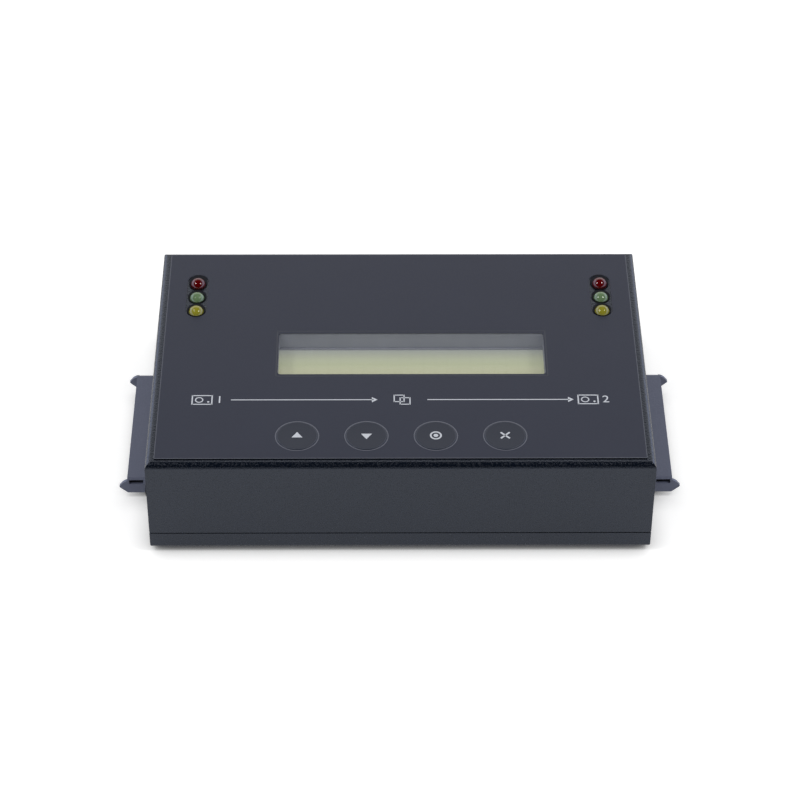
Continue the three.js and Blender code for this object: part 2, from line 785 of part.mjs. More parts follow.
// The display: a pressed frame over the glass, on a light guide.
function displayStack() {
  const halfX = displayFrameWidth / 2;
  const halfY = displayFrameDepth / 2;
  const wall = displayFrameSheet;
  const box = (inset, z0, z1) => block(
    windowX - halfX + inset, windowX + halfX - inset,
    windowY - halfY + inset, windowY + halfY - inset, z0, z1);
  const view = block(
    windowX - displayViewWidth / 2, windowX + displayViewWidth / 2,
    windowY - displayViewDepth / 2, windowY + displayViewDepth / 2, displayBoardTop, displayTop + sheet);
  const frame = cut(box(0, displayBoardTop, displayTop),
    box(wall, displayBoardTop - sheet, displayGlassTop), view);
  const glassBottom = displayGlassTop - displayGlassThickness;
  return [
    piece('display_frame', displaySteel, frame),
    piece('display_glass', displayGlass, box(wall + fit, glassBottom, displayGlassTop)),
    piece('display_backlight', displayLight, box(wall + fit, displayBoardTop, glassBottom)),
  ];
}

// The dock hood, drawn for the right side: a plate with two legs that end in pointed noses,
// and arms that run into the case to feet on its floor.
function dockBracket() {
  const half = dockWidth / 2;
  const outerX = halfWidth + dockReach;
  const outer = lidSection(half, dockBottom, dockTop, dockBendRadius, 0);
  const inner = lidSection(half - sheet, dockBottom - sheet, dockTop - sheet, dockBendRadius - sheet, 0);
  let body = acrossCase(outer, dockInner, outerX)
    .subtract(acrossCase(inner, dockInner - sheet, outerX + sheet));
  const armTop = mainBoardHeight - fit;
  const armInner = halfWidth - dockArmLength;
  const noseHeight = (dockBottom + dockTop - fit) / 2;
  const nose = new THREE.Shape();
  const noseEnd = outerX + dockNoseReach;
  const noseTop = dockTop - dockNoseTopDrop;
  nose.moveTo(outerX - sheet, dockBottom);
  nose.lineTo(outerX, dockBottom);
  nose.lineTo(noseEnd - dockNoseRound, noseHeight - dockNoseUnder);
  nose.quadraticCurveTo(noseEnd + dockNoseRound, noseHeight,
    noseEnd - dockNoseRound, noseHeight + dockNoseOver);
  nose.quadraticCurveTo(outerX + dockNoseReach / 2, noseTop - dockNoseRound, outerX, noseTop);
  nose.lineTo(outerX - sheet, noseTop);
  for (const side of sideSigns) {
    const legOuter = side * half;
    const legInner = side * (half - sheet);
    const [y0, y1] = [Math.min(legOuter, legInner), Math.max(legOuter, legInner)];
    const footEnd = side * (half + dockFootWidth);
    const [footY0, footY1] = [Math.min(legInner, footEnd), Math.max(legInner, footEnd)];
    const slotInner = half - dockBendRadius;
    const slot = outline([
      [side * (half + sheet), dockTop + sheet - dockSlotStart],
      [side * slotInner, dockTop - (half - slotInner) - dockSlotStart],
      [side * slotInner, dockTop - dockSlotDrop],
      [side * (half + sheet), dockTop - dockSlotDrop],
    ]);
    const slotEnd = outerX - dockSlotWeb;
    body = join(body,
      frontToRear(nose, y0, y1, bendSteps),
      block(armInner, dockInner + sheet, y0, y1, floorTop, armTop),
      block(armInner, armInner + dockFootLength - fit, footY0, footY1, floorTop, floorTop + sheet));
    body = body.subtract(acrossCase(slot, slotEnd - dockSlotLength, slotEnd));
  }
  body = body.subtract(
    block(dockInner - sheet, dockInner + fit, -half + sheet, half - sheet, 0, dockTop + sheet));
  return body;
}

// The drive socket, drawn for the right side: two keyed slots with their contact blades.
function driveReceptacle() {
  const face = halfWidth + dockReach - receptacleFaceInset;
  const rear = face - receptacleLength;
  const top = mainBoardHeight;
  const step = halfWidth - dockArmLength + dockFootLength + fit;
  const sideOutline = outline([
    [rear, floorTop + fit],
    [step, floorTop + fit],
    [step, dockBottom],
    [face - receptacleChamfer, dockBottom],
    [face, dockBottom + receptacleChamfer],
    [face, top - receptacleChamfer],
    [face - receptacleChamfer, top],
    [rear, top],
  ]);
  const half = receptacleWidth / 2;
  let body = frontToRear(sideOutline, -half, half);
  const slotTop = (top + dockBottom) / 2 + slotRise;
  const slotBottom = slotTop - slotHeight;
  const signalWidth = (signalContacts - 1) * contactPitch + 2 * slotEndMargin + contactWidth;
  const powerWidth = (powerContacts - 1) * contactPitch + 2 * slotEndMargin + contactWidth;
  const total = signalWidth + slotDividerWidth + powerWidth;
  const slots = [
    { start: -total / 2, width: signalWidth, count: signalContacts },
    { start: -total / 2 + signalWidth + slotDividerWidth, width: powerWidth, count: powerContacts },
  ];
  for (const { start, width, count } of slots) {
    body = cut(body,
      block(face - slotDepth, face + sheet, start, start + width, slotBottom, slotTop),
      block(face - slotDepth, face + sheet, start + width - keyLegWidth, start + width,
        slotBottom - keyLegDrop, slotTop));
    for (let index = 0; index < count; index += 1) {
      const y = start + slotEndMargin + contactWidth / 2 + index * contactPitch;
      body = body.add(block(face - slotDepth - contactRoot, face - contactSetback,
        y - contactWidth / 2, y + contactWidth / 2, slotTop - contactRise, slotTop + contactSink));
    }
  }
  return body;
}

function dock(sideName) {
  const group = placed(new THREE.Group(), 0, dockY, 0);
  group.rotation.z = sides[sideName] < 0 ? Math.PI : 0;
  group.add(
    piece(`${sideName}_dock_bracket`, dockPaint, dockBracket()),
    piece(`${sideName}_sata_receptacle`, blackPlastic, driveReceptacle()));
  return group;
}

// Nine-hole serial socket: pressed shell with its flange, insert, and two hexagonal screws.
function serialPort() {
  const flangeFront = insideRear;
  const flangeRear = flangeFront - sheet;
  const shellEnd = flangeFront + serialShellReach;
  const flange = roundedRectangle(
    serialX - serialFlangeWidth / 2, serialX + serialFlangeWidth / 2,
    serialZ - serialFlangeHeight / 2, serialZ + serialFlangeHeight / 2, serialFlangeRadius);
  let shell = join(
    frontToRear(flange, flangeRear, flangeFront),
    frontToRear(serialOutline(0), flangeRear, shellEnd, bendSteps));
  shell = shell.subtract(
    frontToRear(serialOutline(-serialShellSheet), flangeRear - sheet, shellEnd + sheet, bendSteps));
  for (const side of sideSigns) {
    const x = serialX + side * serialScrewPitch / 2;
    shell = shell.subtract(
      barAlongY(screwHole / 2, x, serialZ, flangeRear - sheet, flangeFront + sheet, coarse));
  }
  const insertEnd = shellEnd - fit;
  let insert = join(
    frontToRear(serialOutline(-serialShellSheet - fit), flangeRear - sheet, insertEnd),
    block(serialX - serialBodyWidth / 2, serialX + serialBodyWidth / 2,
      flangeRear - serialBodyDepth, flangeRear, mainBoardTop, serialZ + serialFlangeHeight / 2));
  for (const [row, count] of serialRows) {
    for (let index = 0; index < count; index += 1) {
      const x = serialX + (index - (count - 1) / 2) * serialPinPitch;
      const z = serialZ + row * serialRowPitch / 2;
      insert = insert.subtract(barAlongY(serialPinHole / 2, x, z,
        insertEnd - serialPinHoleDepth, insertEnd + sheet, pinHoleSides));
    }
  }
  const screws = Object.entries(sides).map(([name, side]) => {
    const head = new THREE.CylinderGeometry(
      jackscrewWidth / Math.sqrt(3), jackscrewWidth / Math.sqrt(3), jackscrewLength, hexSides);
    head.translate(0, jackscrewLength / 2, 0);
    const body = cut(
      join(solid(head), barAlongY(screwRadius, 0, 0, -jackscrewShankLength, sheet, coarse)),
      barAlongY(jackscrewHoleDiameter / 2, 0, 0,
        jackscrewLength - jackscrewHoleDepth, jackscrewLength + sheet, coarse));
    return placed(piece(`${name}_jackscrew`, bareSteel, body),
      serialX + side * serialScrewPitch / 2, halfDepth, serialZ);
  });
  return [piece('serial_shell', bareSteel, shell), piece('serial_insert', blackPlastic, insert), ...screws];
}

function powerInlet() {
  const [y0, y1] = [insideRear - jackLength, insideRear];
  const collarEnd = halfDepth + jackCollarReach;
  const housing = join(
    block(jackX - jackWidth / 2, jackX + jackWidth / 2, y0, y1, mainBoardTop, mainBoardTop + jackHeight),
    barAlongY(jackCollarDiameter / 2, jackX, jackZ, y0 + sheet, collarEnd));
  const boreEnd = collarEnd - jackBoreDepth;
  const body = housing.subtract(barAlongY(jackBoreDiameter / 2, jackX, jackZ, boreEnd, collarEnd + sheet));
  const pin = barAlongY(jackPinDiameter / 2, jackX, jackZ, boreEnd, collarEnd - sheet, coarse);
  return [piece('dc_jack', blackPlastic, body), piece('dc_pin', brass, pin)];
}

// The power switch: a housing snapped into the rear panel and a rocker on two short axles.
function powerSwitch() {
  const pivotY = halfDepth + rockerBezelThickness - rockerThickness / 2;
  const bezel = roundedRectangle(
    -housingHalfLength - rockerBezel, housingHalfLength + rockerBezel,
    -housingHalfWidth - rockerBezel, housingHalfWidth + rockerBezel, bezelCornerRadius);
  const bezelTop = halfDepth + rockerBezelThickness;
  const tilt = THREE.MathUtils.degToRad(rockerTilt);
  const sweep = rockerLength / 2 * Math.sin(tilt);
  const floor = pivotY - rockerThickness / 2 - sweep - fit - rockerPocketExtra;
  let housing = join(
    frontToRear(bezel, halfDepth, bezelTop),
    block(-housingHalfLength, housingHalfLength, halfDepth - rockerHousingDepth, halfDepth + sheet / 2,
      -housingHalfWidth, housingHalfWidth));
  housing = cut(housing,
    block(-pocketHalfLength, pocketHalfLength, floor, bezelTop + sheet,
      -pocketHalfWidth, pocketHalfWidth),
    disc(rockerAxleDiameter / 2 + fit, 0, pivotY,
      -rockerWidth / 2 - rockerAxleReach - fit, rockerWidth / 2 + rockerAxleReach + fit, coarse));
  const half = rockerLength / 2;
  const rise = rockerThickness / 2;
  const section = new THREE.Shape();
  section.moveTo(-half + rockerChamfer, -rise);
  section.lineTo(half - rockerChamfer, -rise);
  section.lineTo(half, -rise + rockerChamfer);
  section.lineTo(half, rise + rockerDish / 2);
  section.quadraticCurveTo(half / 2, rise - rockerDish / 2, 0, rise - rockerDish / 2);
  section.quadraticCurveTo(-half / 2, rise - rockerDish / 2, -half, rise + rockerDish / 2);
  section.lineTo(-half, -rise + rockerChamfer);
  const rocker = join(
    upright(section, -rockerWidth / 2, rockerWidth / 2, rockerDishSteps),
    disc(rockerAxleDiameter / 2, 0, 0,
      -rockerWidth / 2 - rockerAxleReach, rockerWidth / 2 + rockerAxleReach, coarse));
  const rockerMesh = placed(piece('power_rocker', blackPlastic, rocker), rockerX, pivotY, rockerHeight);
  rockerMesh.rotation.z = tilt;
  return [
    placed(piece('power_switch_housing', blackPlastic, housing), rockerX, 0, rockerHeight),
    rockerMesh,
  ];
}

// A pan-head screw standing on its head's flat underside, with its shank along -Z.
function screw(length) {
  const head = screwHeadDiameter / 2;
  const body = turned([
    [0, -length],
    [screwRadius, -length],
    [screwRadius, 0],
    [head, 0],
    [head, screwRimHeight],
    [screwCrownWidth / 2, screwHeadHeight],
    [0, screwHeadHeight],
  ], coarse);
  const half = screwRecessWidth / 2;
  const recessBottom = screwHeadHeight - screwRecessDepth;
  return cut(body,
    block(-screwRecessReach, screwRecessReach, -half, half, recessBottom, screwHeadHeight + sheet),
    block(-half, half, -screwRecessReach, screwRecessReach, recessBottom, screwHeadHeight + sheet));
}

function fasteners() {
  const group = new THREE.Group();
  for (const [name, sideX, sideY] of corners) {
    const caseScrew = piece(`case_screw_${name}`, blackSteel, screw(caseScrewLength));
    caseScrew.rotation.y = sideX * Math.PI / 2;
    group.add(placed(caseScrew, sideX * halfWidth, sideY * caseScrewY, caseScrewHeight));
    const boardScrew = piece(`board_screw_${name}`, bareSteel, screw(boardScrewLength));
    group.add(placed(boardScrew, sideX * postX, sideY * postY, mainBoardTop));
  }
  for (const [name, side] of Object.entries(sides)) {
    const panelScrew = piece(`panel_screw_${name}`, bareSteel, screw(boardScrewLength));
    panelScrew.rotation.x = Math.PI;
    group.add(placed(panelScrew, side * panelPostX, panelPostY, controlBoardUnder));
  }
  return group;
}

function feet() {
  const radius = footDiameter / 2;
  return corners.map(([name, sideX, sideY]) => {
    const body = turned([
      [0, 0],
      [radius - 2 * footEdge, 0],
      [radius - footEdge, footBevelHeight],
      [radius, footHeight],
      [0, footHeight],
    ], footFacets);
    return placed(piece(`foot_${name}`, rubber, body),
      sideX * (halfWidth - footDiameter), sideY * (halfDepth - footDiameter), 0);
  });
}

// Parts on the main board, and the connector that stands between the two boards.
function centred(width, depth, z0, z1) {
  return block(-width / 2, width / 2, -depth / 2, depth / 2, z0, z1);
}

function controller() {
  const half = chipSize / 2;
  const chip = upright(roundedRectangle(-half, half, -half, half, chipCornerRadius), 0, chipHeight);
  const sinkSize = chipSize + 2 * sinkOverhang;
  const pitch = (sinkSize - finThickness) / (sinkFins - 1);
  let sink = centred(sinkSize, sinkSize, 0, sinkHeight);
  for (let index = 0; index < sinkFins - 1; index += 1) {
    const start = -sinkSize / 2 + finThickness + index * pitch;
    sink = sink.subtract(block(start, start + pitch - finThickness,
      -sinkSize, sinkSize, sinkFloor, 2 * sinkHeight));
  }
  return [
    placed(piece('controller_chip', chipBlack, chip), controllerX, controllerY, mainBoardTop),
    placed(piece('heatsink', aluminium, sink), controllerX, controllerY, mainBoardTop + chipHeight),
  ];
}

function capacitor() {
  const radius = capacitorDiameter / 2;
  const neck = radius - capacitorGroove;
  return turned([
    [0, 0],
    [radius, 0],
    [radius, 3 * capacitorGroove],
    [neck, 4 * capacitorGroove],
    [radius, 5 * capacitorGroove],
    [radius, capacitorHeight - capacitorGroove],
    [neck, capacitorHeight],
    [0, capacitorHeight],
  ], coarse);
}

function buzzer() {
  const radius = buzzerDiameter / 2;
  const can = turned([
    [0, 0],
    [radius, 0],
    [radius, buzzerHeight - buzzerEdge],
    [radius - buzzerEdge, buzzerHeight],
    [0, buzzerHeight],
  ]);
  const holeBottom = buzzerHeight - buzzerHoleDepth;
  return can.subtract(disc(buzzerHoleDiameter / 2, 0, 0, holeBottom, 2 * buzzerHeight, coarse));
}

function boardLink() {
  const height = controlBoardUnder - mainBoardTop;
  const waistTop = linkPlugHeight + linkWaistHeight;
  const waistDepth = linkSocketDepth - 2 * linkWaistInset;
  return join(
    centred(linkWidth, linkPlugDepth, 0, linkPlugHeight),
    centred(linkWidth - 2 * linkWaistInset, waistDepth, linkPlugHeight - fit, waistTop + fit),
    centred(linkWidth, linkSocketDepth, waistTop, height));
}

function boardParts() {
  const memory = centred(memoryWidth, memoryLength, 0, memoryHeight);
  const capacitorY = insideRear - jackLength - capacitorRearGap - capacitorDiameter / 2;
  const buzzerX = halfWidth - buzzerSideMargin;
  const buzzerY = -halfDepth + buzzerFrontMargin;
  const linkY = halfDepth - linkRearMargin;
  return [
    ...controller(),
    placed(piece('memory_chip', chipBlack, memory), memoryX, controllerY, mainBoardTop),
    placed(piece('power_capacitor', blackSteel, capacitor()), jackX, capacitorY, mainBoardTop),
    placed(piece('buzzer', blackPlastic, buzzer()), buzzerX, buzzerY, mainBoardTop),
    placed(piece('board_link', blackPlastic, boardLink()), linkX, linkY, mainBoardTop),
  ];
}

// The whole station, moved so that its origin lies under the middle of its overall box.
const station = new THREE.Group();
station.add(topCover(), baseChassis(), panelOverlay(), displayWindow());
for (const [index, name] of keyNames.entries()) {
  station.add(key(name, keyX(index)), keyPlunger(name, keyX(index)), keySwitch(name, keyX(index)));
}
for (const sideName of Object.keys(sides)) {
  for (const [index, colour] of lampNames.entries()) station.add(lamp(sideName, colour, index));
  station.add(dock(sideName));
}
station.add(...displayStack(), displayBoard(), controlBoard(), mainBoard(), ...boardParts());
station.add(...serialPort(), ...powerInlet(), ...powerSwitch(), fasteners(), ...feet());
station.position.y = -rearReach / 2;

export default station;
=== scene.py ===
"""Looks of the drive docking station: finishes, printed marks, lenses, fasteners, light and camera."""

import json
import math

import bmesh
import bpy
from mathutils import Matrix, Vector
from mathutils.bvhtree import BVHTree


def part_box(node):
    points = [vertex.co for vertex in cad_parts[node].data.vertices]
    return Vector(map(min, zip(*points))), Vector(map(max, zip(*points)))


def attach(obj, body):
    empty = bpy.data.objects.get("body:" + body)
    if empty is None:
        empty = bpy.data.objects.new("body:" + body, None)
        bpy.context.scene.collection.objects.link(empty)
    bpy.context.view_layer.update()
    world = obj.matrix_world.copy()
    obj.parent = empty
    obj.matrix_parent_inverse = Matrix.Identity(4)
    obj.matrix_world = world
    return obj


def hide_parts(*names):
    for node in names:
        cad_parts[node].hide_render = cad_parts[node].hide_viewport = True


MM = 0.001
ROUND = 64
SIDES = ("left", "right")
ENDS = ("front", "rear")
CORNERS = [f"{end}_{side}" for end in ENDS for side in SIDES]
KEYS = ("up", "down", "ok", "escape")
# Points closer than this, in millimetres, are one
SAME_POINT = 0.0005

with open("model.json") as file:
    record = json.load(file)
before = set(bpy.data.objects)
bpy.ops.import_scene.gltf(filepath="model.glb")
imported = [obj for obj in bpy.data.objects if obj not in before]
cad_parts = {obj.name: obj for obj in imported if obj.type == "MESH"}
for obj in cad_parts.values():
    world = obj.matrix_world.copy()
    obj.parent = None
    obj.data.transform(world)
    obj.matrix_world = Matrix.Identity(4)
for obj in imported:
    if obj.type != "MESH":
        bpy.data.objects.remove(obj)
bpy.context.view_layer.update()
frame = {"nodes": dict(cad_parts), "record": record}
nodes = frame["nodes"]


# Places taken from the frame
def middle(node):
    """The middle of a node's box."""
    low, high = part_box(node)
    return (low + high) / 2


def under(low, high):
    """The point of the desk under the middle of a box."""
    return Vector(((low.x + high.x) / 2, (low.y + high.y) / 2, 0))


def outward(side):
    """The way along X from the middle of the case to a side."""
    return 1 if side == "right" else -1


lid_low, lid_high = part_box("top_cover")
film_low, film_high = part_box("panel_overlay")
CASE_Y = (lid_low.y + lid_high.y) / 2
FILM_TOP = film_high.z
PRINT_THICKNESS = 0.03 * MM


def on_film(x, y):
    """A point of the film, from millimetres right of and behind the middle of the case."""
    return Vector((x * MM, CASE_Y + y * MM, FILM_TOP))


# Colours and nodes
WHITE = (1, 1, 1, 1)
BLACK = (0, 0, 0, 1)


def linear(value):
    """One screen value between 0 and 1 as an amount of light."""
    return value / 12.92 if value <= 0.04045 else ((value + 0.055) / 1.055) ** 2.4


def colour(code):
    """A colour from its six-figure screen code."""
    parts = [int(code[start:start + 2], 16) / 255 for start in (1, 3, 5)]
    return (*[linear(part) for part in parts], 1)


def dimmed(paint, share):
    """A colour with a share of its light."""
    return (*[part * share for part in paint[:3]], 1)


def add_node(tree, kind, values=None, **settings):
    """Adds a node. A value that is an output socket is linked, and any other is set."""
    node = tree.nodes.new(kind)
    for name, setting in settings.items():
        setattr(node, name, setting)
    for key, value in (values or {}).items():
        if isinstance(value, bpy.types.NodeSocket):
            tree.links.new(value, node.inputs[key])
        else:
            node.inputs[key].default_value = value
    return node


def start_material(name, **values):
    """A material with one shader, and its tree, shader and place on the object."""
    material = bpy.data.materials.new(name)
    material.use_nodes = True
    tree = material.node_tree
    shader = tree.nodes["Principled BSDF"]
    for key, value in values.items():
        shader.inputs[key].default_value = value
    place = add_node(tree, "ShaderNodeTexCoord").outputs["Object"]
    return material, tree, shader, place


def speckle(tree, place, size_mm, detail=2.0, roughness=0.5):
    """Noise whose grains are about size_mm across."""
    return add_node(tree, "ShaderNodeTexNoise", {
        "Vector": place, "Scale": 1 / (size_mm * MM), "Detail": detail, "Roughness": roughness,
    }).outputs["Fac"]


def between(tree, factor, low, high, start=0.3, end=0.7):
    """Turns a noise between start and end into values between low and high."""
    return add_node(tree, "ShaderNodeMapRange", {
        "Value": factor, "From Min": start, "From Max": end, "To Min": low, "To Max": high,
    }).outputs["Result"]


def relief(tree, shader, height, depth_mm, strength=1.0, below=None):
    """Presses a pattern into the surface, over another relief if one is given."""
    values = {"Height": height, "Distance": depth_mm * MM, "Strength": strength}
    if below is not None:
        values["Normal"] = below
    bump = add_node(tree, "ShaderNodeBump", values).outputs["Normal"]
    tree.links.new(bump, shader.inputs["Normal"])
    return bump


def colour_mix(tree, factor, first, second):
    """Mix of two colours, with the colour sockets of the mix node."""
    mix = add_node(tree, "ShaderNodeMix", data_type="RGBA")
    tree.links.new(factor, mix.inputs[0])
    for socket, value in ((mix.inputs[6], first), (mix.inputs[7], second)):
        if isinstance(value, bpy.types.NodeSocket):
            tree.links.new(value, socket)
        else:
            socket.default_value = value
    return mix.outputs[2]


# Finishes
def powder_coat(name, dark, light, rough_low, rough_high, ior=1.58, grain_depth=0.11):
    """Baked epoxy powder on steel: a hard skin with fine grains that melt into shallow bumps."""
    material, tree, shader, place = start_material(name, IOR=ior)
    # painted tint of the reflections: a cool blue that stands in for the colour of the light
    shader.inputs["Specular Tint"].default_value = colour("#e2ebff")
    cloud = speckle(tree, place, size_mm=14)
    tree.links.new(colour_mix(tree, cloud, colour(dark), colour(light)), shader.inputs["Base Color"])
    # real grains are about 0.15 mm; drawn at 0.55 mm so that they show
    grain = speckle(tree, place, size_mm=0.55, detail=3)
    # the tops of the grains are polished and the hollows between them dull
    shine = between(tree, grain, rough_high, rough_low, start=0.4, end=0.56)
    tree.links.new(shine, shader.inputs["Roughness"])
    skin = relief(tree, shader, speckle(tree, place, size_mm=1.8), depth_mm=0.06, strength=0.4)
    relief(tree, shader, grain, grain_depth, strength=0.6, below=skin)
    return material


def polycarbonate_film(name, dark, light):
    """Printed polycarbonate with a velvet face: very fine even grain and a soft shine."""
    material, tree, shader, place = start_material(name, IOR=1.58)
    cloud = speckle(tree, place, size_mm=20)
    tree.links.new(colour_mix(tree, cloud, colour(dark), colour(light)), shader.inputs["Base Color"])
    velvet = speckle(tree, place, size_mm=0.35, detail=2)
    tree.links.new(between(tree, velvet, low=0.36, high=0.46), shader.inputs["Roughness"])
    relief(tree, shader, velvet, depth_mm=0.02, strength=0.35)
    return material


def screen_ink(name, code):
    """Screen-printed ink: thick, flat and slightly uneven in tone."""
    material, tree, shader, place = start_material(name, IOR=1.5, Roughness=0.5)
    tone = speckle(tree, place, size_mm=0.6)
    pale = colour(code)
    tree.links.new(colour_mix(tree, tone, dimmed(pale, 0.86), pale), shader.inputs["Base Color"])
    relief(tree, shader, tone, depth_mm=0.01, strength=0.3)
    return material


def moulded_plastic(name, code, roughness, grain_mm=0.5, depth_mm=0.03):
    """Injection-moulded ABS or nylon with a spark-eroded grain."""
    material, tree, shader, place = start_material(name, IOR=1.5)
    base = colour(code)
    spread = 0.06
    grain = speckle(tree, place, grain_mm, detail=3)
    cloud = speckle(tree, place, size_mm=6)
    tree.links.new(colour_mix(tree, cloud, dimmed(base, 0.8), base), shader.inputs["Base Color"])
    tree.links.new(between(tree, grain, roughness - spread, roughness + spread), shader.inputs["Roughness"])
    relief(tree, shader, grain, depth_mm, strength=0.5)
    return material


def bare_metal(name, code, roughness):
    """Plated or drawn metal: fine lines along one way, with small changes of shine."""
    material, tree, shader, place = start_material(name, Metallic=1.0)
    # real lines are about 0.05 mm wide; drawn at 0.17 mm so that they show
    drawn = add_node(tree, "ShaderNodeMapping", {"Vector": place, "Scale": (1, 1, 6)}).outputs["Vector"]
    lines = speckle(tree, drawn, size_mm=1.0, detail=3)
    base = colour(code)
    smoother = roughness - 0.07
    rougher = roughness + 0.09
    tree.links.new(colour_mix(tree, lines, dimmed(base, 0.82), base), shader.inputs["Base Color"])
    tree.links.new(between(tree, lines, smoother, rougher), shader.inputs["Roughness"])
    relief(tree, shader, lines, depth_mm=0.01, strength=0.3)
    return material


def clear_acrylic():
    """The clear pane over the display: polished, and so thin that it only dims a little."""
    material, tree, shader, place = start_material("polished_acrylic", IOR=1.49)
    shader.inputs["Alpha"].default_value = 0.06
    shader.inputs["Specular IOR Level"].default_value = 1.0
    haze = speckle(tree, place, size_mm=3)
    tint = colour_mix(tree, haze, colour("#9a9fa8"), colour("#a6abb3"))
    tree.links.new(tint, shader.inputs["Base Color"])
    tree.links.new(between(tree, haze, low=0.01, high=0.04), shader.inputs["Roughness"])
    return material


def lamp_epoxy(name, deep, pale):
    """Tinted epoxy of a signal lamp: a glossy dome that lets part of the light in, with painted shade on
    its wall.
    """
    material, tree, shader, place = start_material(name, IOR=1.53)
    shader.inputs["Transmission Weight"].default_value = 0.3
    shader.inputs["Coat Weight"].default_value = 0.3
    shader.inputs["Coat Roughness"].default_value = 0.03
    swirl = speckle(tree, place, size_mm=2.5)
    facing = add_node(tree, "ShaderNodeNewGeometry").outputs["Normal"]
    upward = add_node(tree, "ShaderNodeSeparateXYZ", {"Vector": facing}).outputs["Z"]
    # painted shade: the base colour goes to black on the lens's wall, which looks into the dark hole, and
    # stays full on the dome, as if lit from above
    painted_dome_light = add_node(tree, "ShaderNodeMapRange", {
        "Value": upward, "From Min": -0.3, "From Max": 0.6, "To Min": 0.1, "To Max": 1.0,
    }, interpolation_type="SMOOTHSTEP").outputs["Result"]
    tint = colour_mix(tree, swirl, colour(deep), colour(pale))
    tree.links.new(colour_mix(tree, painted_dome_light, BLACK, tint), shader.inputs["Base Color"])
    tree.links.new(between(tree, swirl, low=0.03, high=0.06), shader.inputs["Roughness"])
    return material


# The rear of the display glass that the frame hides, in millimetres
HIDDEN_GLASS = 7.0


def reflective_display():
    """Liquid-crystal glass over a yellow-green film: satin face, faint cells of unlit dots."""
    material, tree, shader, place = start_material("liquid_crystal_glass", IOR=1.52, Roughness=0.22)
    low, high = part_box("display_glass")
    window_low, window_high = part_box("display_window")
    parts = add_node(tree, "ShaderNodeSeparateXYZ", {"Vector": place}).outputs
    along = add_node(tree, "ShaderNodeMapRange", {
        "Value": parts["Y"], "From Min": window_low.y, "From Max": high.y - HIDDEN_GLASS * MM,
    }).outputs["Result"]
    # painted light and shade along the glass: brightest a little behind the middle, and greyer and darker
    # towards the rear, where the frame and the lid shade it
    painted_shade_ramp = add_node(tree, "ShaderNodeValToRGB", {"Fac": along})
    ramp = painted_shade_ramp.color_ramp
    ramp.elements[0].position = 0.3
    ramp.elements[0].color = colour("#cdcfa4")
    ramp.elements[1].position = 1.0
    ramp.elements[1].color = colour("#b9beb8")
    for position, code in ((0.53, "#d2d4ad"), (0.65, "#d5dbb4"), (0.77, "#d3d9b9"), (0.88, "#c7cbb6")):
        ramp.elements.new(position).color = colour(code)
    glow = painted_shade_ramp.outputs["Color"]
    # a cell of 5 by 8 dots is 3.2 by 5.55 mm; drawn only a little darker than the glass
    cell = add_node(tree, "ShaderNodeTexBrick", {
        "Vector": place, "Color1": WHITE, "Color2": WHITE, "Mortar": BLACK,
        "Scale": 1 / MM, "Mortar Size": 0.17, "Mortar Smooth": 0.3,
        "Brick Width": 3.7, "Row Height": 6.0,
    }, offset=0.0).outputs["Fac"]
    tone = 0.05
    faint = add_node(tree, "ShaderNodeMath", {0: cell, 1: tone}, operation="MULTIPLY").outputs[0]
    shown = colour_mix(tree, faint, glow, colour("#5e6350"))
    # part backlight and part painted light: the glass glows with its own colour, as the lit panel behind it
    # would, and strongly enough that its ends stay bright where the frame shades them
    tree.links.new(shown, shader.inputs["Emission Color"])
    shader.inputs["Emission Strength"].default_value = 0.28
    returned = add_node(tree, "ShaderNodeVectorMath", {0: shown, "Scale": 0.56}, operation="SCALE")
    tree.links.new(returned.outputs["Vector"], shader.inputs["Base Color"])
    shader.inputs["Coat Weight"].default_value = 0.5
    shader.inputs["Coat Roughness"].default_value = 0.05
    relief(tree, shader, speckle(tree, place, size_mm=0.4), depth_mm=0.004, strength=0.3)
    return material


def circuit_board():
    """Green solder mask over copper: tracks show as slightly paler lines."""
    material, tree, shader, place = start_material("solder_mask", IOR=1.5, Roughness=0.32)
    tracks = add_node(tree, "ShaderNodeTexBrick", {
        "Vector": place, "Color1": colour("#0e3a22"), "Color2": colour("#12452a"),
        "Mortar": colour("#1f6a3d"), "Scale": 1 / MM, "Mortar Size": 0.12,
        "Brick Width": 6.0, "Row Height": 1.3,
    }, offset=0.37)
    tree.links.new(tracks.outputs["Color"], shader.inputs["Base Color"])
    relief(tree, shader, tracks.outputs["Fac"], depth_mm=0.03, strength=0.6)
    return material


def rubber_finish():
    """Moulded rubber: nearly matte, with a dusty fine grain."""
    material, tree, shader, place = start_material("moulded_rubber", IOR=1.52)
    dust = speckle(tree, place, size_mm=0.4, detail=3)
    tint = colour_mix(tree, dust, colour("#141416"), colour("#202023"))
    tree.links.new(tint, shader.inputs["Base Color"])
    tree.links.new(between(tree, dust, low=0.72, high=0.88), shader.inputs["Roughness"])
    relief(tree, shader, dust, depth_mm=0.04, strength=0.6)
    return material


case_paint = powder_coat("black_powder_coat", "#0a0f18", "#0e141f", rough_low=0.1, rough_high=0.4,
                         ior=1.7, grain_depth=0.15)
dock_paint = powder_coat("grey_powder_coat", "#626679", "#686c7f", rough_low=0.3, rough_high=0.42)
overlay_film = polycarbonate_film("velvet_polycarbonate", "#1a2035", "#1e2439")
key_face = polycarbonate_film("embossed_polycarbonate", "#1d2334", "#222838")
# paler than the film: its clear cut edges, with a painted highlight along them
cut_edge_and_painted_highlight = polycarbonate_film("cut_polycarbonate_and_highlight", "#4e525f", "#585c68")
white_ink = screen_ink("white_screen_ink", "#d2d6df")
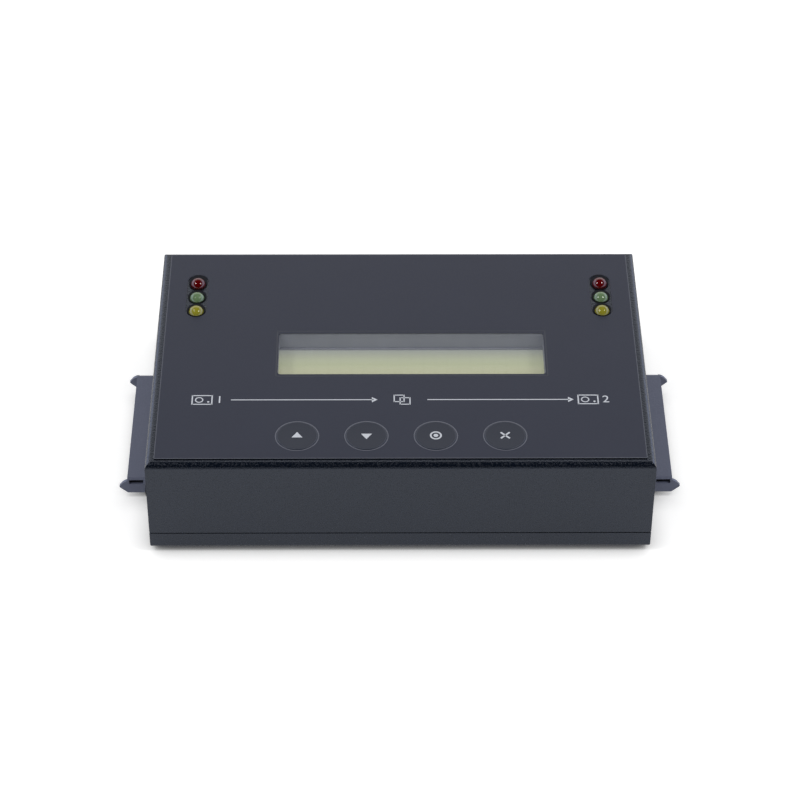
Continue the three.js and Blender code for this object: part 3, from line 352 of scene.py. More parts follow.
# pale and faint rings at the keys: painted highlights of their round edges
rim_painted_highlight = screen_ink("pale_rim_painted_highlight", "#6b6e7a")
cap_edge_painted_highlight = screen_ink("faint_cap_edge_highlight", "#454956")
border_ink = screen_ink("border_screen_ink", "#43464f")
pane_acrylic = clear_acrylic()
black_abs = moulded_plastic("black_abs", "#15161a", roughness=0.42)
grey_acetal = moulded_plastic("grey_acetal", "#c4c7cc", roughness=0.4)
black_nylon = moulded_plastic("black_nylon", "#101114", roughness=0.5, grain_mm=0.35)
light_guide = moulded_plastic("light_guide_acrylic", "#d3d6c4", roughness=0.3)
epoxy_case = moulded_plastic("moulded_epoxy", "#1c1d20", roughness=0.55, grain_mm=0.3)
sleeve = moulded_plastic("shrink_sleeve", "#181b26", roughness=0.3)
bright_nickel = bare_metal("nickel_plated_steel", "#c9ccd1", roughness=0.26)
black_oxide = bare_metal("blackened_steel", "#26282c", roughness=0.36)
# near black for the film's front cut edge: a painted shadow under that edge
front_edge_painted_shadow = moulded_plastic("black_painted_shadow", "#07080b", roughness=0.7)
bezel_lacquer = moulded_plastic("grey_bezel_lacquer", "#868996", roughness=0.45)
# paler lacquer for the frame's cut edges: painted light on the shaded walls of the opening
bezel_edge_painted_light = moulded_plastic("pale_bezel_edge_painted_light", "#a4a7b2", roughness=0.45)
gasket_foam = moulded_plastic("closed_cell_foam", "#9a9dac", roughness=0.75, grain_mm=0.4, depth_mm=0.05)
# near black for the sheets behind the hood slots and round the lamps: painted shade
painted_shade_black = moulded_plastic("painted_shade_black", "#090b14", roughness=0.95, grain_mm=0.3, depth_mm=0.1)
gold_flash = bare_metal("gold_flash", "#d8b25a", roughness=0.24)
brass_pin = bare_metal("turned_brass", "#c9a45a", roughness=0.28)
milled_aluminium = bare_metal("extruded_aluminium", "#b3b7bd", roughness=0.34)
crystal_glass = reflective_display()
board_green = circuit_board()
foot_rubber = rubber_finish()
LAMP_EPOXIES = {
    "red": lamp_epoxy("red_epoxy", "#5a0308", "#6e080d"),
    "green": lamp_epoxy("green_epoxy", "#6a885f", "#819d75"),
    "yellow": lamp_epoxy("yellow_epoxy", "#989328", "#aea83a"),
}

CAD_FINISHES = {
    case_paint: ["top_cover", "base_chassis"],
    dock_paint: [f"{side}_dock_bracket" for side in SIDES],
    overlay_film: ["panel_overlay"],
    pane_acrylic: ["display_window"],
    key_face: [f"key_{key}" for key in KEYS],
    grey_acetal: [f"plunger_{key}" for key in KEYS],
    black_abs: [*[f"key_switch_{key}" for key in KEYS],
                "buzzer", "board_link", "dc_jack", "power_switch_housing", "power_rocker"],
    black_nylon: [*[f"{side}_sata_receptacle" for side in SIDES], "serial_insert"],
    bezel_lacquer: ["display_frame"],
    crystal_glass: ["display_glass"],
    light_guide: ["display_backlight"],
    board_green: ["display_board", "control_board", "main_board"],
    epoxy_case: ["controller_chip", "memory_chip"],
    milled_aluminium: ["heatsink"],
    sleeve: ["power_capacitor"],
    brass_pin: ["dc_pin"],
    bright_nickel: ["serial_shell", *[f"{side}_jackscrew" for side in SIDES],
                    *[f"panel_screw_{side}" for side in SIDES],
                    *[f"board_screw_{corner}" for corner in CORNERS]],
    black_oxide: [f"case_screw_{corner}" for corner in CORNERS],
    foot_rubber: [f"foot_{corner}" for corner in CORNERS],
    **{epoxy: [f"{side}_lamp_{tone}" for side in SIDES] for tone, epoxy in LAMP_EPOXIES.items()},
}
for material, names in CAD_FINISHES.items():
    for name in names:
        nodes[name].data.materials.clear()
        nodes[name].data.materials.append(material)


# Making pieces
def add_piece(name, shape, material, body):
    """Turns a bmesh into a piece that rides on a body."""
    mesh = bpy.data.meshes.new(name)
    shape.to_mesh(mesh)
    shape.free()
    mesh.materials.append(material)
    piece = bpy.data.objects.new(name, mesh)
    bpy.context.scene.collection.objects.link(piece)
    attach(piece, body)
    return piece


def smooth(piece, degrees=30):
    """Smooth shading that keeps edges sharper than the angle, with flat faces kept flat."""
    shape = bmesh.new()
    shape.from_mesh(piece.data)
    limit = math.radians(degrees)
    for face in shape.faces:
        face.smooth = True
    for edge in shape.edges:
        edge.smooth = len(edge.link_faces) == 2 and edge.calc_face_angle() < limit
    shape.to_mesh(piece.data)
    shape.free()
    weighted = piece.modifiers.new("even_normals", "WEIGHTED_NORMAL")
    weighted.keep_sharp = True


def soften(piece, width_mm, degrees=30):
    """A small round on every edge sharper than the angle."""
    bevel = piece.modifiers.new("edge_round", "BEVEL")
    bevel.width = width_mm * MM
    bevel.segments = 2
    bevel.limit_method = "ANGLE"
    bevel.angle_limit = math.radians(degrees)
    bevel.use_clamp_overlap = True


def body_of(node):
    """The body that carries a node."""
    for body, members in frame["record"]["behaviour"]["bodies"].items():
        if node in members:
            return body
    return "case"


def dressed(node, name, material, width_mm=0, others=(), pick=None):
    """A merged copy of a CAD node with clean faces and smooth bends, which stands for the node.

    Where it has other materials, pick gives the number of each face's material.
    """
    shape = bmesh.new()
    shape.from_mesh(nodes[node].data)
    bmesh.ops.remove_doubles(shape, verts=shape.verts, dist=2 * SAME_POINT * MM)
    flat = math.radians(0.5)
    bmesh.ops.dissolve_limit(shape, angle_limit=flat, verts=shape.verts, edges=shape.edges)
    for face in shape.faces:
        face.material_index = pick(face) if pick else 0
    piece = add_piece(name, shape, material, body_of(node))
    for other in others:
        piece.data.materials.append(other)
    if width_mm:
        soften(piece, width_mm)
    smooth(piece)
    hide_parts(node)


def turned(profile, centre, steps=ROUND):
    """A closed round body from [radius, height] pairs in millimetres, turned about the upright axis."""
    shape = bmesh.new()
    points = [shape.verts.new((radius * MM, 0, height * MM)) for radius, height in profile]
    edges = [shape.edges.new(pair) for pair in zip(points, points[1:])]
    bmesh.ops.spin(shape, geom=points + edges, cent=(0, 0, 0), axis=(0, 0, 1), dvec=(0, 0, 0),
                   angle=2 * math.pi, steps=steps, use_merge=True, use_duplicate=False)
    bmesh.ops.remove_doubles(shape, verts=shape.verts, dist=SAME_POINT * MM)
    bmesh.ops.recalc_face_normals(shape, faces=shape.faces)
    bmesh.ops.translate(shape, verts=shape.verts, vec=centre)
    return shape


def arc(radius, centre_r, centre_z, start, end, steps):
    """Points of a rounded stretch of a profile, angles in degrees from the outward direction."""
    angles = [math.radians(start + (end - start) * step / steps) for step in range(steps + 1)]
    return [(centre_r + radius * math.cos(a), centre_z + radius * math.sin(a)) for a in angles]


# Printed marks and painted highlights lie as thin plates on the film or on a key
def plate(shape, faces):
    """Gives flat faces the thickness of the ink."""
    lifted = bmesh.ops.extrude_face_region(shape, geom=faces)["geom"]
    raised = [item for item in lifted if isinstance(item, bmesh.types.BMVert)]
    bmesh.ops.translate(shape, verts=raised, vec=(0, 0, PRINT_THICKNESS))
    bmesh.ops.recalc_face_normals(shape, faces=shape.faces)


def bar(shape, start, end, width_mm):
    """A straight printed line between two points."""
    run = end - start
    verts = bmesh.ops.create_grid(shape, x_segments=1, y_segments=1, size=0.5)["verts"]
    bmesh.ops.scale(shape, verts=verts, vec=(run.length, width_mm * MM, 1))
    turn = Matrix.Rotation(math.atan2(run.y, run.x), 3, "Z")
    bmesh.ops.rotate(shape, verts=verts, cent=(0, 0, 0), matrix=turn)
    bmesh.ops.translate(shape, verts=verts, vec=(start + end) / 2)


def polygon(shape, centre, radius_mm, sides, turn=0.0, stretch=(1, 1, 1)):
    """A filled regular shape: a triangle, a square or a round dot."""
    verts = bmesh.ops.create_circle(
        shape, cap_ends=True, segments=sides, radius=radius_mm * MM)["verts"]
    bmesh.ops.rotate(shape, verts=verts, cent=(0, 0, 0), matrix=Matrix.Rotation(turn, 3, "Z"))
    bmesh.ops.scale(shape, verts=verts, vec=stretch)
    bmesh.ops.translate(shape, verts=verts, vec=centre)


def ring(shape, centre, radius_mm, width_mm, steps=ROUND):
    """A thin flat circle, printed or a painted highlight."""
    verts = bmesh.ops.create_circle(shape, segments=steps, radius=(radius_mm + width_mm / 2) * MM)["verts"]
    edges = {edge for vert in verts for edge in vert.link_edges}
    inner = bmesh.ops.extrude_edge_only(shape, edges=list(edges))["geom"]
    inside = [item for item in inner if isinstance(item, bmesh.types.BMVert)]
    shrink = (radius_mm - width_mm / 2) / (radius_mm + width_mm / 2)
    bmesh.ops.scale(shape, verts=inside, vec=(shrink, shrink, 1))
    bmesh.ops.translate(shape, verts=verts + inside, vec=centre)


def mark(name, draw, material, body):
    """A printed mark or a painted highlight: draw adds flat faces to the shape, which then get the ink's
    thickness.
    """
    shape = bmesh.new()
    draw(shape)
    plate(shape, shape.faces[:])
    add_piece(name, shape, material, body)


# Copy path on the film: two drives and the arrows between them
FLOW_Y = -22.0
LINE_WIDTH = 0.36
ARROW_LENGTH = 1.7
ARROW_RADIUS = 1.15
ARROW_BREADTH = 1.2


def flow_arrow(start_x, tip_x):
    """A line along the copy path with its head at the right."""
    def draw(shape):
        head = on_film(tip_x - ARROW_LENGTH * 2 / 3, FLOW_Y)
        bar(shape, on_film(start_x, FLOW_Y), head, LINE_WIDTH)
        # a triangle is one and a half radii long
        polygon(shape, head, ARROW_RADIUS, 3, turn=-math.pi / 2,
                stretch=(ARROW_LENGTH / ARROW_RADIUS / 1.5, ARROW_BREADTH, 1))
    return draw


DRIVE_HALF_LENGTH = 3.0
DRIVE_HALF_WIDTH = 2.0
DRIVE_LINE = 0.4
DISC_RADIUS = 1.1
DISC_LINE = 0.35
DISC_SHIFT = -0.9
DRIVE_DOT = (1.9, -0.9)
DRIVE_DOT_RADIUS = 0.35


def drive_symbol(centre_x):
    """A drive seen from above: its case with the round disc and a dot."""
    def draw(shape):
        centre = on_film(centre_x, FLOW_Y)
        half_x = DRIVE_HALF_LENGTH
        half_y = DRIVE_HALF_WIDTH
        end_y = half_y + DRIVE_LINE / 2
        for sign in (-1, 1):
            bar(shape, centre + Vector((-half_x, sign * half_y, 0)) * MM,
                centre + Vector((half_x, sign * half_y, 0)) * MM, DRIVE_LINE)
            bar(shape, centre + Vector((sign * half_x, -end_y, 0)) * MM,
                centre + Vector((sign * half_x, end_y, 0)) * MM, DRIVE_LINE)
        ring(shape, centre + Vector((DISC_SHIFT, 0, 0)) * MM, DISC_RADIUS, DISC_LINE, 32)
        polygon(shape, centre + Vector((*DRIVE_DOT, 0)) * MM, DRIVE_DOT_RADIUS, 16)
    return draw


SHEET_HALF_WIDTH = 1.5
SHEET_LINE = 0.38
SHEET_SHIFT = (0.9, -0.6)


def copy_symbol(centre_x):
    """Two overlapping sheets."""
    def draw(shape):
        centre = on_film(centre_x, FLOW_Y)
        half = SHEET_HALF_WIDTH
        end_y = half + SHEET_LINE / 2
        for way in (-1, 1):
            corner = centre + way * Vector((*SHEET_SHIFT, 0)) * MM
            for sign in (-1, 1):
                bar(shape, corner + Vector((-half, sign * half, 0)) * MM,
                    corner + Vector((half, sign * half, 0)) * MM, SHEET_LINE)
                bar(shape, corner + Vector((sign * half, -end_y, 0)) * MM,
                    corner + Vector((sign * half, end_y, 0)) * MM, SHEET_LINE)
    return draw


mark("flow_arrow_left", flow_arrow(start_x=-51.4, tip_x=-6.9), white_ink, "case")
mark("flow_arrow_right", flow_arrow(start_x=8.3, tip_x=52.8), white_ink, "case")
mark("source_drive_symbol", drive_symbol(centre_x=-60.2), white_ink, "case")
mark("target_drive_symbol", drive_symbol(centre_x=57.2), white_ink, "case")
mark("copy_symbol", copy_symbol(centre_x=0.6), white_ink, "case")


# Size of the font over the height of its numbers
FONT_SCALE = 1.4


def digit(name, text, centre, height_mm):
    """A printed number, made a mesh before it is placed."""
    curve = bpy.data.curves.new(name, "FONT")
    curve.body = text
    curve.align_x = "CENTER"
    curve.align_y = "CENTER"
    curve.size = height_mm * MM * FONT_SCALE
    curve.extrude = PRINT_THICKNESS / 2
    carrier = bpy.data.objects.new(name + "_curve", curve)
    bpy.context.scene.collection.objects.link(carrier)
    bpy.context.view_layer.update()
    mesh = bpy.data.meshes.new_from_object(carrier.evaluated_get(bpy.context.evaluated_depsgraph_get()))
    bpy.data.objects.remove(carrier)
    shape = bmesh.new()
    shape.from_mesh(mesh)
    bmesh.ops.remove_doubles(shape, verts=shape.verts, dist=SAME_POINT * MM)
    bmesh.ops.translate(shape, verts=shape.verts, vec=centre + Vector((0, 0, PRINT_THICKNESS / 2)))
    add_piece(name, shape, white_ink, "case")


digit("source_number", "1", on_film(-54.9, FLOW_Y), height_mm=3.2)
digit("target_number", "2", on_film(62.6, FLOW_Y), height_mm=3.2)

DISPLAY_BORDER = {"left": -38.1, "right": 45.5, "rear": 10.6, "front": -11.0}
BORDER_WIDTH = 0.3


def display_border(shape):
    """The thin printed line round the window."""
    edges = DISPLAY_BORDER
    line = BORDER_WIDTH
    corner = {}
    for side in SIDES:
        for end in ENDS:
            corner[side, end] = on_film(edges[side], edges[end])
    reach = Vector((line / 2 * MM, 0, 0))
    bar(shape, corner["left", "rear"] - reach, corner["right", "rear"] + reach, line)
    bar(shape, corner["left", "front"] - reach, corner["right", "front"] + reach, line)
    bar(shape, corner["left", "front"], corner["left", "rear"], line)
    bar(shape, corner["right", "front"], corner["right", "rear"], line)


mark("display_border", display_border, border_ink, "case")

FILM_EDGE_WIDTH = 0.24


def film_edge(shape):
    """A pale strip along the top of the film's cut edge all round: a painted highlight of the edge."""
    inset = FILM_EDGE_WIDTH / 2 * MM
    low = Vector((film_low.x + inset, film_low.y + inset, FILM_TOP))
    high = Vector((film_high.x - inset, film_high.y - inset, FILM_TOP))
    corner = {(x, y): Vector((x, y, FILM_TOP)) for x in (low.x, high.x) for y in (low.y, high.y)}
    for y in (low.y, high.y):
        bar(shape, corner[low.x, y], corner[high.x, y], FILM_EDGE_WIDTH)
    for x in (low.x, high.x):
        bar(shape, corner[x, low.y], corner[x, high.y], FILM_EDGE_WIDTH)


mark("film_edge_painted_highlight", film_edge, cut_edge_and_painted_highlight, "case")


# Keys: a raised cap with a round edge, two pale rings that are painted highlights of the round edges, and a
# printed symbol
KEY_FACE_RADIUS = 6.35
KEY_EDGE = 0.28
KEY_RING_RADIUS = 6.5
KEY_RING_WIDTH = 0.26
INNER_RING_RADIUS = 5.95
INNER_RING_WIDTH = 0.16
KEY_STEM_RADIUS = 2.0
KEY_FLANGE_RADIUS = 7.35
KEY_FLANGE_TOP = 33.9
KEY_FLANGE_BOTTOM = 33.1
KEY_DISH_RADII = (5.3, 5.1)
KEY_DISH_DEPTH = 0.03


def key_cap(node):
    """The cap, its retaining flange and its stem, with a softly rounded upper edge."""
    low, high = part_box(node)
    centre = under(low, high)
    top = high.z / MM
    bottom = low.z / MM
    dish = top - KEY_DISH_DEPTH
    outer, inner = KEY_DISH_RADII
    profile = [(0, bottom), (KEY_STEM_RADIUS, bottom), (KEY_STEM_RADIUS, KEY_FLANGE_BOTTOM),
               (KEY_FLANGE_RADIUS, KEY_FLANGE_BOTTOM), (KEY_FLANGE_RADIUS, KEY_FLANGE_TOP),
               (KEY_FACE_RADIUS, KEY_FLANGE_TOP)]
    profile += arc(KEY_EDGE, KEY_FACE_RADIUS - KEY_EDGE, top - KEY_EDGE, start=0, end=90, steps=5)
    profile += [(outer, top), (inner, dish), (0, dish)]
    return turned(profile, centre)


TRIANGLE_RADIUS = 1.9
TRIANGLE_FLATNESS = 0.85
CONFIRM_RADIUS = 1.55
CONFIRM_LINE = 0.5
CONFIRM_DOT_RADIUS = 0.7
CROSS_REACH = 1.35
CROSS_LINE = 0.55


def key_symbols():
    """How each key's symbol is drawn about the middle of the key."""
    def up(shape, centre):
        polygon(shape, centre, TRIANGLE_RADIUS, 3, stretch=(1, TRIANGLE_FLATNESS, 1))

    def down(shape, centre):
        polygon(shape, centre, TRIANGLE_RADIUS, 3, turn=math.pi, stretch=(1, TRIANGLE_FLATNESS, 1))

    def confirm(shape, centre):
        ring(shape, centre, CONFIRM_RADIUS, CONFIRM_LINE, 40)
        polygon(shape, centre, CONFIRM_DOT_RADIUS, 32)

    def escape(shape, centre):
        for slope in (-1, 1):
            reach = Vector((CROSS_REACH, slope * CROSS_REACH, 0)) * MM
            bar(shape, centre - reach, centre + reach, CROSS_LINE)

    return {"up": up, "down": down, "ok": confirm, "escape": escape}


for key_name, draw_symbol in key_symbols().items():
    node = f"key_{key_name}"
    body = f"{key_name}_key"
    cap = add_piece(f"key_cap_{key_name}", key_cap(node), key_face, body)
    smooth(cap)
    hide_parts(node)
    face = middle(node)
    face.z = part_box(node)[1].z - KEY_DISH_DEPTH * MM
    mark(f"key_symbol_{key_name}", lambda shape: draw_symbol(shape, face), white_ink, body)
    # painted highlights: a pale ring on the film round the key's rim, and a faint one just inside the cap's
    # round edge
    rim = Vector((face.x, face.y, FILM_TOP))
    mark(f"key_ring_{key_name}", lambda shape: ring(shape, rim, KEY_RING_RADIUS, KEY_RING_WIDTH),
         rim_painted_highlight, "case")
    top = Vector((face.x, face.y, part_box(node)[1].z))
    mark(f"key_line_{key_name}", lambda shape: ring(shape, top, INNER_RING_RADIUS, INNER_RING_WIDTH),
         cap_edge_painted_highlight, body)


# Signal lamps: a domed lens in a black collar, over its lead frame
LENS_RADIUS = 2.45
LENS_FLANGE = 2.9
LENS_FLANGE_HEIGHT = 1
# The domes stand this much higher than the lamps of the CAD model
LENS_LIFT = {"red": 0.7, "green": 0.3, "yellow": 0.3}
LENS_HEIGHT = 8.6
LENS_PLAY = 0.02
COLLAR_RADIUS = 2.75
COLLAR_HEIGHT = 4
COLLAR_SUNK = 0.1
COLLAR_EDGE = 0.15
COLLAR_CHAMFER = 0.1
# Leads of a lamp: place across, and how far below the lamp's top each ends
LEADS = ((-1.27, 5.2), (1.27, 4.3))
LEAD_WIDTH = 0.5
# Cup on the left lead: radius, and height from the lamp's top
CUP = ((0, -5.2), (0.9, -5.2), (1.25, -4.0), (1.15, -4.0), (0.6, -4.8), (0, -4.8))
CUP_SHIFT = -0.35


def collar(node):
    """The black spacer that holds a lamp in its hole."""
    low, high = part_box(node)
    centre = under(low, high)
    top = lid_high.z / MM - COLLAR_SUNK
    bottom = top - COLLAR_HEIGHT
    inner = LENS_RADIUS + LENS_PLAY
    return turned([(inner, bottom), (COLLAR_RADIUS, bottom), (COLLAR_RADIUS, top - COLLAR_EDGE),
                   (COLLAR_RADIUS - COLLAR_CHAMFER, top), (inner, top - COLLAR_CHAMFER),
                   (inner, bottom)], centre)


def lens(node, lift):
    """A lamp's dome with the flange that sits on its leads."""
    low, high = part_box(node)
    centre = under(low, high)
    bottom = high.z / MM - LENS_HEIGHT
    top = high.z / MM + lift
    flange_top = bottom + LENS_FLANGE_HEIGHT
    profile = [(0, bottom), (LENS_FLANGE, bottom), (LENS_FLANGE, flange_top), (LENS_RADIUS, flange_top)]
    profile += arc(LENS_RADIUS, 0, top - LENS_RADIUS, start=0, end=90, steps=14)
    return turned(profile, centre)


def lead_frame(node):
    """The two leads of a lamp, one with the cup that carries the light-emitting die."""
    low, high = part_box(node)
    centre = under(low, high)
    top = high.z / MM
    cup = [(radius, top + height) for radius, height in CUP]
    shape = turned(cup, centre + Vector((CUP_SHIFT * MM, 0, 0)), steps=24)
    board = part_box("control_board")[1].z / MM
    for x, depth in LEADS:
        head = top - depth
        verts = bmesh.ops.create_cube(shape, size=1)["verts"]
        bmesh.ops.scale(shape, verts=verts, vec=(LEAD_WIDTH * MM, LEAD_WIDTH * MM, (head - board) * MM))
        bmesh.ops.translate(shape, verts=verts,
                            vec=centre + Vector((x, 0, (head + board) / 2)) * MM)
    return shape


for side in SIDES:
    for tone, epoxy in LAMP_EPOXIES.items():
        node = f"{side}_lamp_{tone}"
        shape = lens(node, LENS_LIFT[tone])
        dome = add_piece(f"{side}_{tone}_lens", shape, epoxy, "case")
        smooth(dome)
        leads = add_piece(f"{side}_{tone}_leads", lead_frame(node), bright_nickel, "case")
        smooth(leads)
        spacer = add_piece(f"{side}_{tone}_collar", collar(node), black_nylon, "case")
        smooth(spacer)
        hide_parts(node)

# A black oval lies round each lamp in the slot of the film and reaches back behind the lamp: painted shade
# of the dark hole behind each dome
LAMP_SHADE_WIDTH = 5.9
LAMP_SHADE_THICKNESS = 0.3
LAMP_SHADE_REACH = {"red": 4.8, "green": 3.75, "yellow": 3.65}
LAMP_SHADE_PLAY = 0.03
LAMP_SHADE_FRONT = 0.04


def lamp_painted_shade(node, reach):
    """A flat oval ring with its round hole nearer to the front."""
    shape = bmesh.new()
    centre = middle(node)
    hole = LENS_RADIUS + LAMP_SHADE_PLAY
    front = hole + LAMP_SHADE_FRONT
    oval = (LAMP_SHADE_WIDTH / 2, (reach + front) / 2, (reach - front) / 2)
    for across, along, shift in (oval, (hole, hole, 0)):
        rim = bmesh.ops.create_circle(shape, segments=ROUND, radius=MM)["verts"]
        bmesh.ops.scale(shape, verts=rim, vec=(across, along, 1))
        bmesh.ops.translate(shape, verts=rim, vec=(centre.x, centre.y + shift * MM, lid_high.z))
    bmesh.ops.triangle_fill(shape, use_beauty=True, use_dissolve=False, edges=shape.edges[:])
    lifted = bmesh.ops.extrude_face_region(shape, geom=shape.faces[:])["geom"]
    raised = [item for item in lifted if isinstance(item, bmesh.types.BMVert)]
    bmesh.ops.translate(shape, verts=raised, vec=(0, 0, LAMP_SHADE_THICKNESS * MM))
    bmesh.ops.recalc_face_normals(shape, faces=shape.faces)
    return shape


for side in SIDES:
    for tone, reach in LAMP_SHADE_REACH.items():
        shape = lamp_painted_shade(f"{side}_lamp_{tone}", reach)
        add_piece(f"{side}_{tone}_eyelet", shape, painted_shade_black, "case")


# Sheet metal and mouldings with rounded edges
dressed("top_cover", "lid_shell", case_paint, width_mm=0.12)
dressed("base_chassis", "base_shell", case_paint, width_mm=0.12)


def is_level(face):
    """Whether a face looks more up or down than sideways."""
    return abs(face.normal.z) > 0.5


def film_side(face):
    """The film's flat faces, its front cut edge, which is drawn near black as a painted shadow, and its
    other cut edges, drawn pale, partly as painted light.
    """
    if is_level(face):
        return 0
    is_front = face.calc_center_median().y < film_low.y + 0.5 * MM
    return 1 if is_front else 2


dressed("panel_overlay", "front_film", overlay_film,
        others=(front_edge_painted_shadow, cut_edge_and_painted_highlight), pick=film_side)
for side in SIDES:
    dressed(f"{side}_dock_bracket", f"{side}_dock_hood", dock_paint, width_mm=0.12)
    dressed(f"{side}_sata_receptacle", f"{side}_drive_socket", black_nylon, width_mm=0.08)

for side in SIDES:
    for end in ENDS:
        corner = f"{end}_{side}"
        dressed(f"case_screw_{corner}", f"side_screw_{corner}", black_oxide, width_mm=0.08)
        dressed(f"foot_{corner}", f"rubber_foot_{corner}", foot_rubber, width_mm=0.25)
    dressed(f"{side}_jackscrew", f"{side}_hex_standoff", bright_nickel, width_mm=0.1)
dressed("serial_shell", "port_shell", bright_nickel, width_mm=0.08)
dressed("serial_insert", "port_insert", black_nylon, width_mm=0.06)
dressed("dc_jack", "inlet_housing", black_abs, width_mm=0.12)
dressed("power_switch_housing", "switch_bezel", black_abs, width_mm=0.12)
dressed("power_rocker", "switch_rocker", black_abs, width_mm=0.12)


def frame_side(face):
    """The frame's lacquered faces, and its cut edges, drawn paler as painted light on the shaded walls of
    its opening.
    """
    return 0 if is_level(face) else 1


dressed("display_frame", "display_bezel", bezel_lacquer, width_mm=0.08,
        others=(bezel_edge_painted_light,), pick=frame_side)

WINDOW_WIDTH = 82.5
WINDOW_DEPTH = 19.6
GASKET_WALL = 0.8
GASKET_PLAY = 0.1
GASKET_SUNK = 0.05


def window_gasket():
    """The foam frame that closes the gap between the display and the lid and holds the pane's edge."""
    window_low, window_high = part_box("display_window")
    top = window_high.z - GASKET_SUNK * MM
    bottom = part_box("display_frame")[1].z
    reach = GASKET_PLAY + GASKET_WALL
    half = Vector((WINDOW_WIDTH / 2 + reach, WINDOW_DEPTH / 2 + reach, 0)) * MM
    centre = (window_low + window_high) / 2
    shape = bmesh.new()
    bmesh.ops.create_grid(shape, x_segments=1, y_segments=1, size=1)
    bmesh.ops.scale(shape, verts=shape.verts, vec=(half.x, half.y, 1))
    rim = bmesh.ops.inset_region(shape, faces=shape.faces[:], thickness=GASKET_WALL * MM,
                                 use_boundary=True, use_even_offset=True)["faces"]
    opening = [face for face in shape.faces if face not in rim]
    bmesh.ops.delete(shape, geom=opening, context="FACES_ONLY")
    lifted = bmesh.ops.extrude_face_region(shape, geom=shape.faces[:])["geom"]
    raised = [item for item in lifted if isinstance(item, bmesh.types.BMVert)]
    bmesh.ops.translate(shape, verts=raised, vec=(0, 0, top - bottom))
    bmesh.ops.translate(shape, verts=shape.verts, vec=(centre.x, centre.y, bottom))
    bmesh.ops.recalc_face_normals(shape, faces=shape.faces)
    piece = add_piece("window_gasket", shape, gasket_foam, "case")
    soften(piece, width_mm=0.1)


window_gasket()

# Gold contacts in the drive sockets: seven for signals, fifteen for power
CONTACT_PITCH = 1.27
CONTACT_ROWS = ((-15.7, 7), (-2.08, 15))
CONTACT_LENGTH = 5.7
CONTACT_SETBACK = 0.75
CONTACT_WIDTH = 0.66
CONTACT_THICKNESS = 0.34
CONTACT_Z = 4.78 * MM


def socket_contacts(side):
    """The sprung blades under the upper wall of each keyed slot."""
    low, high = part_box(f"{side}_sata_receptacle")
    way = outward(side)
    face_x = high.x if way > 0 else low.x
    shape = bmesh.new()
    for start, count in CONTACT_ROWS:
        for index in range(count):
            y = middle(f"{side}_sata_receptacle").y + way * (start + index * CONTACT_PITCH) * MM
            x = face_x - way * (CONTACT_SETBACK + CONTACT_LENGTH / 2) * MM
            blade = bmesh.ops.create_cube(shape, size=MM)["verts"]
            bmesh.ops.scale(shape, verts=blade, vec=(CONTACT_LENGTH, CONTACT_WIDTH, CONTACT_THICKNESS))
            bmesh.ops.translate(shape, verts=blade, vec=(x, y, CONTACT_Z))
    blades = add_piece(f"{side}_socket_contacts", shape, gold_flash, "case")
    soften(blades, width_mm=0.06)


for side in SIDES:
    socket_contacts(side)


# Marks on the two ends of the rocker
MARK_SHIFT = 2.8
MARK_SUNK = 0.01
RING_MARK_RADIUS = 0.95
RING_MARK_LINE = 0.35
BAR_MARK_REACH = 1.1
BAR_MARK_LINE = 0.4
# A place behind the rocker, from which its face is looked for
LOOK_FROM = 20


def rocker_mark(name, shift, draw):
    """A printed mark that follows the rocker's dished face."""
    node = "power_rocker"
    mesh = nodes[node].data
    face = BVHTree.FromPolygons([vertex.co for vertex in mesh.vertices],
                                [polygon.vertices for polygon in mesh.polygons])
    centre = middle(node) + Vector((shift * MM, 0, 0))
    shape = bmesh.new()
    draw(shape)
    plate(shape, shape.faces[:])
    for vertex in shape.verts:
        start = Vector((centre.x - vertex.co.x, centre.y + LOOK_FROM * MM, centre.z + vertex.co.y))
        hit = face.ray_cast(start, Vector((0, -1, 0)))[0]
        vertex.co = hit + Vector((0, vertex.co.z - MARK_SUNK * MM, 0))
    bmesh.ops.recalc_face_normals(shape, faces=shape.faces)
    add_piece(name, shape, white_ink, "rocker")


def ring_mark(shape):
    """The ring at the off end."""
    ring(shape, Vector((0, 0, 0)), RING_MARK_RADIUS, RING_MARK_LINE, 32)


def bar_mark(shape):
    """The bar at the on end."""
    reach = Vector((0, BAR_MARK_REACH, 0)) * MM
    bar(shape, -reach, reach, BAR_MARK_LINE)


rocker_mark("rocker_off_mark", -MARK_SHIFT, ring_mark)
rocker_mark("rocker_on_mark", MARK_SHIFT, bar_mark)

# Black sheets behind the slots of each dock hood: painted shade of the dark space under the hood
HOOD_REACH = 8.4
HOOD_WIDTH = 50.4
HOOD_SHEET = 1.0
SHADE_SHEET_THICKNESS = 0.1
SHADE_SHEET_START = 0.3
SHADE_SHEET_LENGTH = 5.6
SHADE_SHEET_DROP = 3.2
SHADE_SHEET_DEPTH = 2.6


